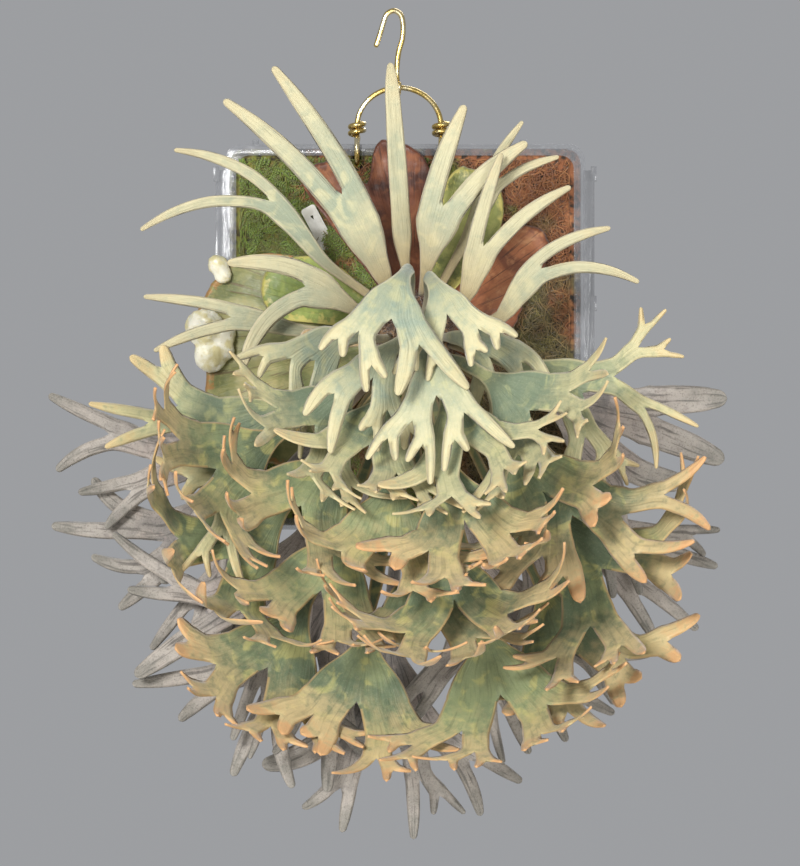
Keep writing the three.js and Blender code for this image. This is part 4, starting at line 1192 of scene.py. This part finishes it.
# azimuth and elevation of a frond's seat, how far from the crown its blade starts, seen from the front and towards
# the viewer, the length of the blade with its lobes, and settings of its own
tiers = {
    "old": ({"width": 50, "spread": 22, "curl": 12, "lean": 3, "point": 0.46}, [
        (215, -2, 88, -6, 108), (227, 6, 104, -8, 116), (238, -2, 118, -6, 120), (250, 8, 132, -2, 120),
        (265, 0, 156, -4, 108), (286, 4, 118, -4, 104), (305, 0, 96, -4, 112), (330, 3, 78, -6, 106),
    ]),
    "low": ({"curl": 36, "width": 52}, [
        (248, 22, 152, 34, 96, {"turn": -10, "wild": 0.5}), (264, 17, 156, 30, 92), (280, 22, 154, 34, 92),
        (296, 17, 146, 34, 96),
    ]),
    "under": ({}, [
        (233, 30, 112, 48, 108, {"turn": -10}), (250, 36, 106, 56, 94), (267, 31, 110, 54, 90),
        (284, 36, 106, 56, 92), (303, 30, 114, 48, 112, {"turn": 8}),
    ]),
    "middle": ({}, [
        (322, 38, 88, 70, 98, {"turn": -22, "curl": 24}), (220, 44, 88, 60, 98, {"turn": -8}), (240, 49, 74, 74, 86),
        (262, 45, 76, 76, 82), (284, 49, 72, 78, 82), (305, 47, 76, 84, 86, {"wild": 0.8}),
    ]),
    "upper": ({"curl": 30, "lean": 30, "droop": 0.006, "width": 40}, [
        (206, 34, 72, 42, 104, {"turn": -7, "curl": 16, "sweep": 10, "lean": 12, "droop": 0}), (222, 60, 44, 80, 78),
        (253, 63, 38, 88, 74), (288, 63, 38, 86, 74), (320, 60, 44, 92, 78),
        (342, 36, 60, 48, 92, {"turn": 4, "curl": -6, "width": 30, "droop": 0.01}),
    ]),
    "young": ({"width": 28, "curl": 0, "lean": 42, "droop": 0.03, "forks": 2}, [
        (192, 56, 34, 58, 66), (226, 76, 16, 72, 62), (292, 76, 14, 74, 62), (350, 60, 24, 60, 62),
        (100, 60, 24, 72, 60, {"turn": 138, "width": 32}), (64, 62, 22, 76, 54, {"turn": -122, "width": 26}),
    ]),
    "upright": ({"lean": 10, "forks": 1, "curl": 0, "spread": 8, "width": 22, "wild": 0.4}, [
        (120, 28, 32, 22, 122, {"turn": -7, "sweep": -8, "spread": 6, "wild": 0, "droop": 0.004}),
        (98, 12, 46, 12, 92, {"turn": -4, "forks": 0}), (80, 30, 38, 24, 76, {"turn": -4, "spread": 9, "sweep": 24}),
        (62, 12, 68, 16, 54, {"turn": 4, "spread": 16, "width": 11, "sweep": 34}),
        (38, 30, 34, 24, 74, {"turn": 36, "spread": 14, "width": 16, "sweep": 16, "droop": 0.008}),
        (14, 14, 48, 18, 76, {"turn": 44, "spread": 10, "width": 14, "sweep": 30, "droop": 0.008}),
        (140, 12, 72, 16, 92, {"turn": -14, "spread": 20, "width": 13, "wild": 0.6, "sweep": -28, "droop": 0.009}),
        (158, 30, 38, 28, 66, {"turn": -10, "spread": 22, "width": 20, "sweep": -40, "droop": 0.01}),
        (177, 14, 70, 18, 74, {"turn": -14, "spread": 14, "width": 13, "wild": 1, "droop": 0.008}),
    ]),
}
rowKeys = ("azimuth", "elevation", "reach", "depth", "size")
toneDraw = randomFrom(77)
for tierIndex, (tier, (shared, rows)) in enumerate(tiers.items()):
    tierFinish = leafFinish(f"{tier}_frond_leaf", frondLooks[tier])
    faceCount = 0
    for i, row in enumerate(rows):
        frond = {**frondDefaults, **shared, **dict(zip(rowKeys, row)), **(row[5] if len(row) > 5 else {})}
        frond.update(name=f"{tier}_{i + 1}", seed=100 * tierIndex + i, tone=toneDraw())
        faceCount += makeFrond(frond, frondLooks[tier], tierFinish)
    print(tier, "fronds made,", faceCount, "faces")

# the bud of a new frond, on its bare stalk
budSettings = {
    "azimuth": 190, "elevation": 20, "place": (-42.6, -58, -169.5), "radius": 4.5, "length": 4.9, "stalkRadius": 1.25,
    "bend": 14, "sides": 20, "tan": (176, 144, 100), "pale": (206, 180, 138), "brown": (120, 84, 50),
}


def budFinish(look):
    bud = Finish("downy_bud", {"Sheen Weight": 0.6, "Sheen Roughness": 0.4})
    down, patches = bud.grain(0.8, 4, 0.7), bud.grain(6, 3)
    colour = bud.layers(look["tan"], (look["pale"], patches, 0.4, 0.6), (look["brown"], down, 0.55, 0.72, 0, 0.7))
    return bud.finish(colour, 0.8, down, 0.5, 0.8)


def makeBud(look):
    seat = seatOf(look["azimuth"], look["elevation"])
    place = Vector(look["place"])
    bend = seat.place + seat.ahead * look["bend"]
    last = (place - bend).normalized()
    path = evenSpline([[*p] for p in (seat.place, bend, place, place + last * look["length"])], 0.8, 0.5)
    lengths = lengthsAlong(path)
    fromMiddle = (lengths - (lengths[-1] - look["length"])) / look["length"]
    ball = look["radius"] * np.sqrt(np.clip(1 - fromMiddle**2, 0.003, 1))
    radii = np.maximum(ball * smooth(-1.25, -0.6, fromMiddle), np.where(fromMiddle < 0, look["stalkRadius"], 0.1))
    points, faces = tubeMesh(path, radii, look["sides"])
    makePiece("round_bud", points, faces, budFinish(look), ["frond_bud"])


makeBud(budSettings)

# the rhizome: a short scaly stem, hidden in the middle of the fronds
rhizomeSettings = {
    "voxel": 1.3, "rough": 0.8, "lumps": 3, "scales": 1500, "scale": (2.4, 5.2), "radius": (0.15, 0.4), "front": -38,
    "ragged": 0.55, "sag": 0.8, "brown": (104, 74, 48), "pale": (156, 122, 82), "dark": (52, 34, 22),
}


def rhizomeFinish(look):
    bark = Finish("scaly_rhizome", {"Sheen Weight": 0.4, "Sheen Roughness": 0.5})
    scales, patches = bark.grain(2.2, 4, 0.65), bark.grain(9, 3)
    gaps = (look["dark"], scales, 0.42, 0.56, 0.8, 0)
    colour = bark.layers(look["brown"], (look["pale"], patches, 0.4, 0.62), gaps)
    return bark.finish(colour, 0.85, scales, 1.2, 0.9)


def makeRhizome(settings):
    def knobbly(place, normal):
        return settings["rough"] * (ripple(*place / settings["lumps"]) - 0.4)

    material = rhizomeFinish(settings)
    mesh, points, out = roughened("rhizome", settings["voxel"], 3, knobbly)
    showPiece("rhizome_stem", mesh, material, ["rhizome"])
    draw = np.random.default_rng(21)
    free = np.nonzero(points[:, 1] < settings["front"])[0]
    picked = draw.choice(free, settings["scales"])
    lean = unit(out[picked] + draw.normal(0, settings["ragged"], (len(picked), 3)))
    t = np.linspace(-0.15, 1, 4)[None, :, None]
    lengths = draw.uniform(*settings["scale"], len(picked))[:, None, None]
    paths = points[picked][:, None] + lean[:, None] * lengths * t
    paths[..., 2] -= settings["sag"] * t[..., 0] ** 2
    points, faces = strandMesh(paths, draw.uniform(*settings["radius"], len(picked)))
    makePiece("rhizome_scales", points, faces, material, closed=False)


makeRhizome(rhizomeSettings)
print("bud and rhizome made")

# the plain floor, the pale room and the soft lights, in metres
stageSettings = {
    "floorZ": -0.62, "floorRadius": 1.6, "rings": (0.02, 0.4, 1.0), "sides": 96, "floor": (214, 212, 208),
    "dust": (198, 196, 192), "room": (222, 224, 228), "roomStrength": 0.46,
    "lights": [
        {"name": "key", "place": (-0.9, -2.4, 0.45), "size": 0.7, "power": 66},
        {"name": "fill", "place": (1.0, -2.2, -0.6), "size": 1.0, "power": 30},
        {"name": "rim", "place": (0.6, 1.6, 1.2), "size": 1.2, "power": 18},
    ],
}


def floorFinish(look):
    plaster = Finish("pale_floor", {})
    colour = plaster.layers(look["floor"], (look["dust"], plaster.grain(40, 4), 0.4, 0.6, 0, 0.2))
    return plaster.finish(colour, 0.85, plaster.grain(2, 3), 0.2, 0.2)


def makeStage(look):
    count = look["sides"]
    points = []
    for share in look["rings"]:
        for k in range(count):
            a = 2 * math.pi * k / count
            r = look["floorRadius"] * share
            points.append((r * math.cos(a), r * math.sin(a), look["floorZ"]))
    faces = [list(range(count))] + ringFaces(len(look["rings"]), count)
    mesh = bpy.data.meshes.new("floor")
    mesh.from_pydata(points, [], faces)
    mesh.materials.append(floorFinish(look))
    linked("floor", mesh)
    world = bpy.data.worlds.new("pale_room")
    world.use_nodes = True
    back = world.node_tree.nodes["Background"]
    back.inputs["Color"].default_value = tint(*look["room"])
    back.inputs["Strength"].default_value = look["roomStrength"]
    scene.world = world
    middle = (Vector(cadBounds[0]) + Vector(cadBounds[1])) / 2
    for light in look["lights"]:
        data = bpy.data.lights.new(light["name"], "AREA")
        data.shape = "DISK"
        data.size = light["size"]
        data.energy = light["power"]
        lamp = linked(light["name"], data)
        lamp.location = light["place"]
        lamp.rotation_euler = (middle - lamp.location).to_track_quat("-Z", "Y").to_euler()


makeStage(stageSettings)
scene.view_settings.view_transform = "Standard"
print("stage made")
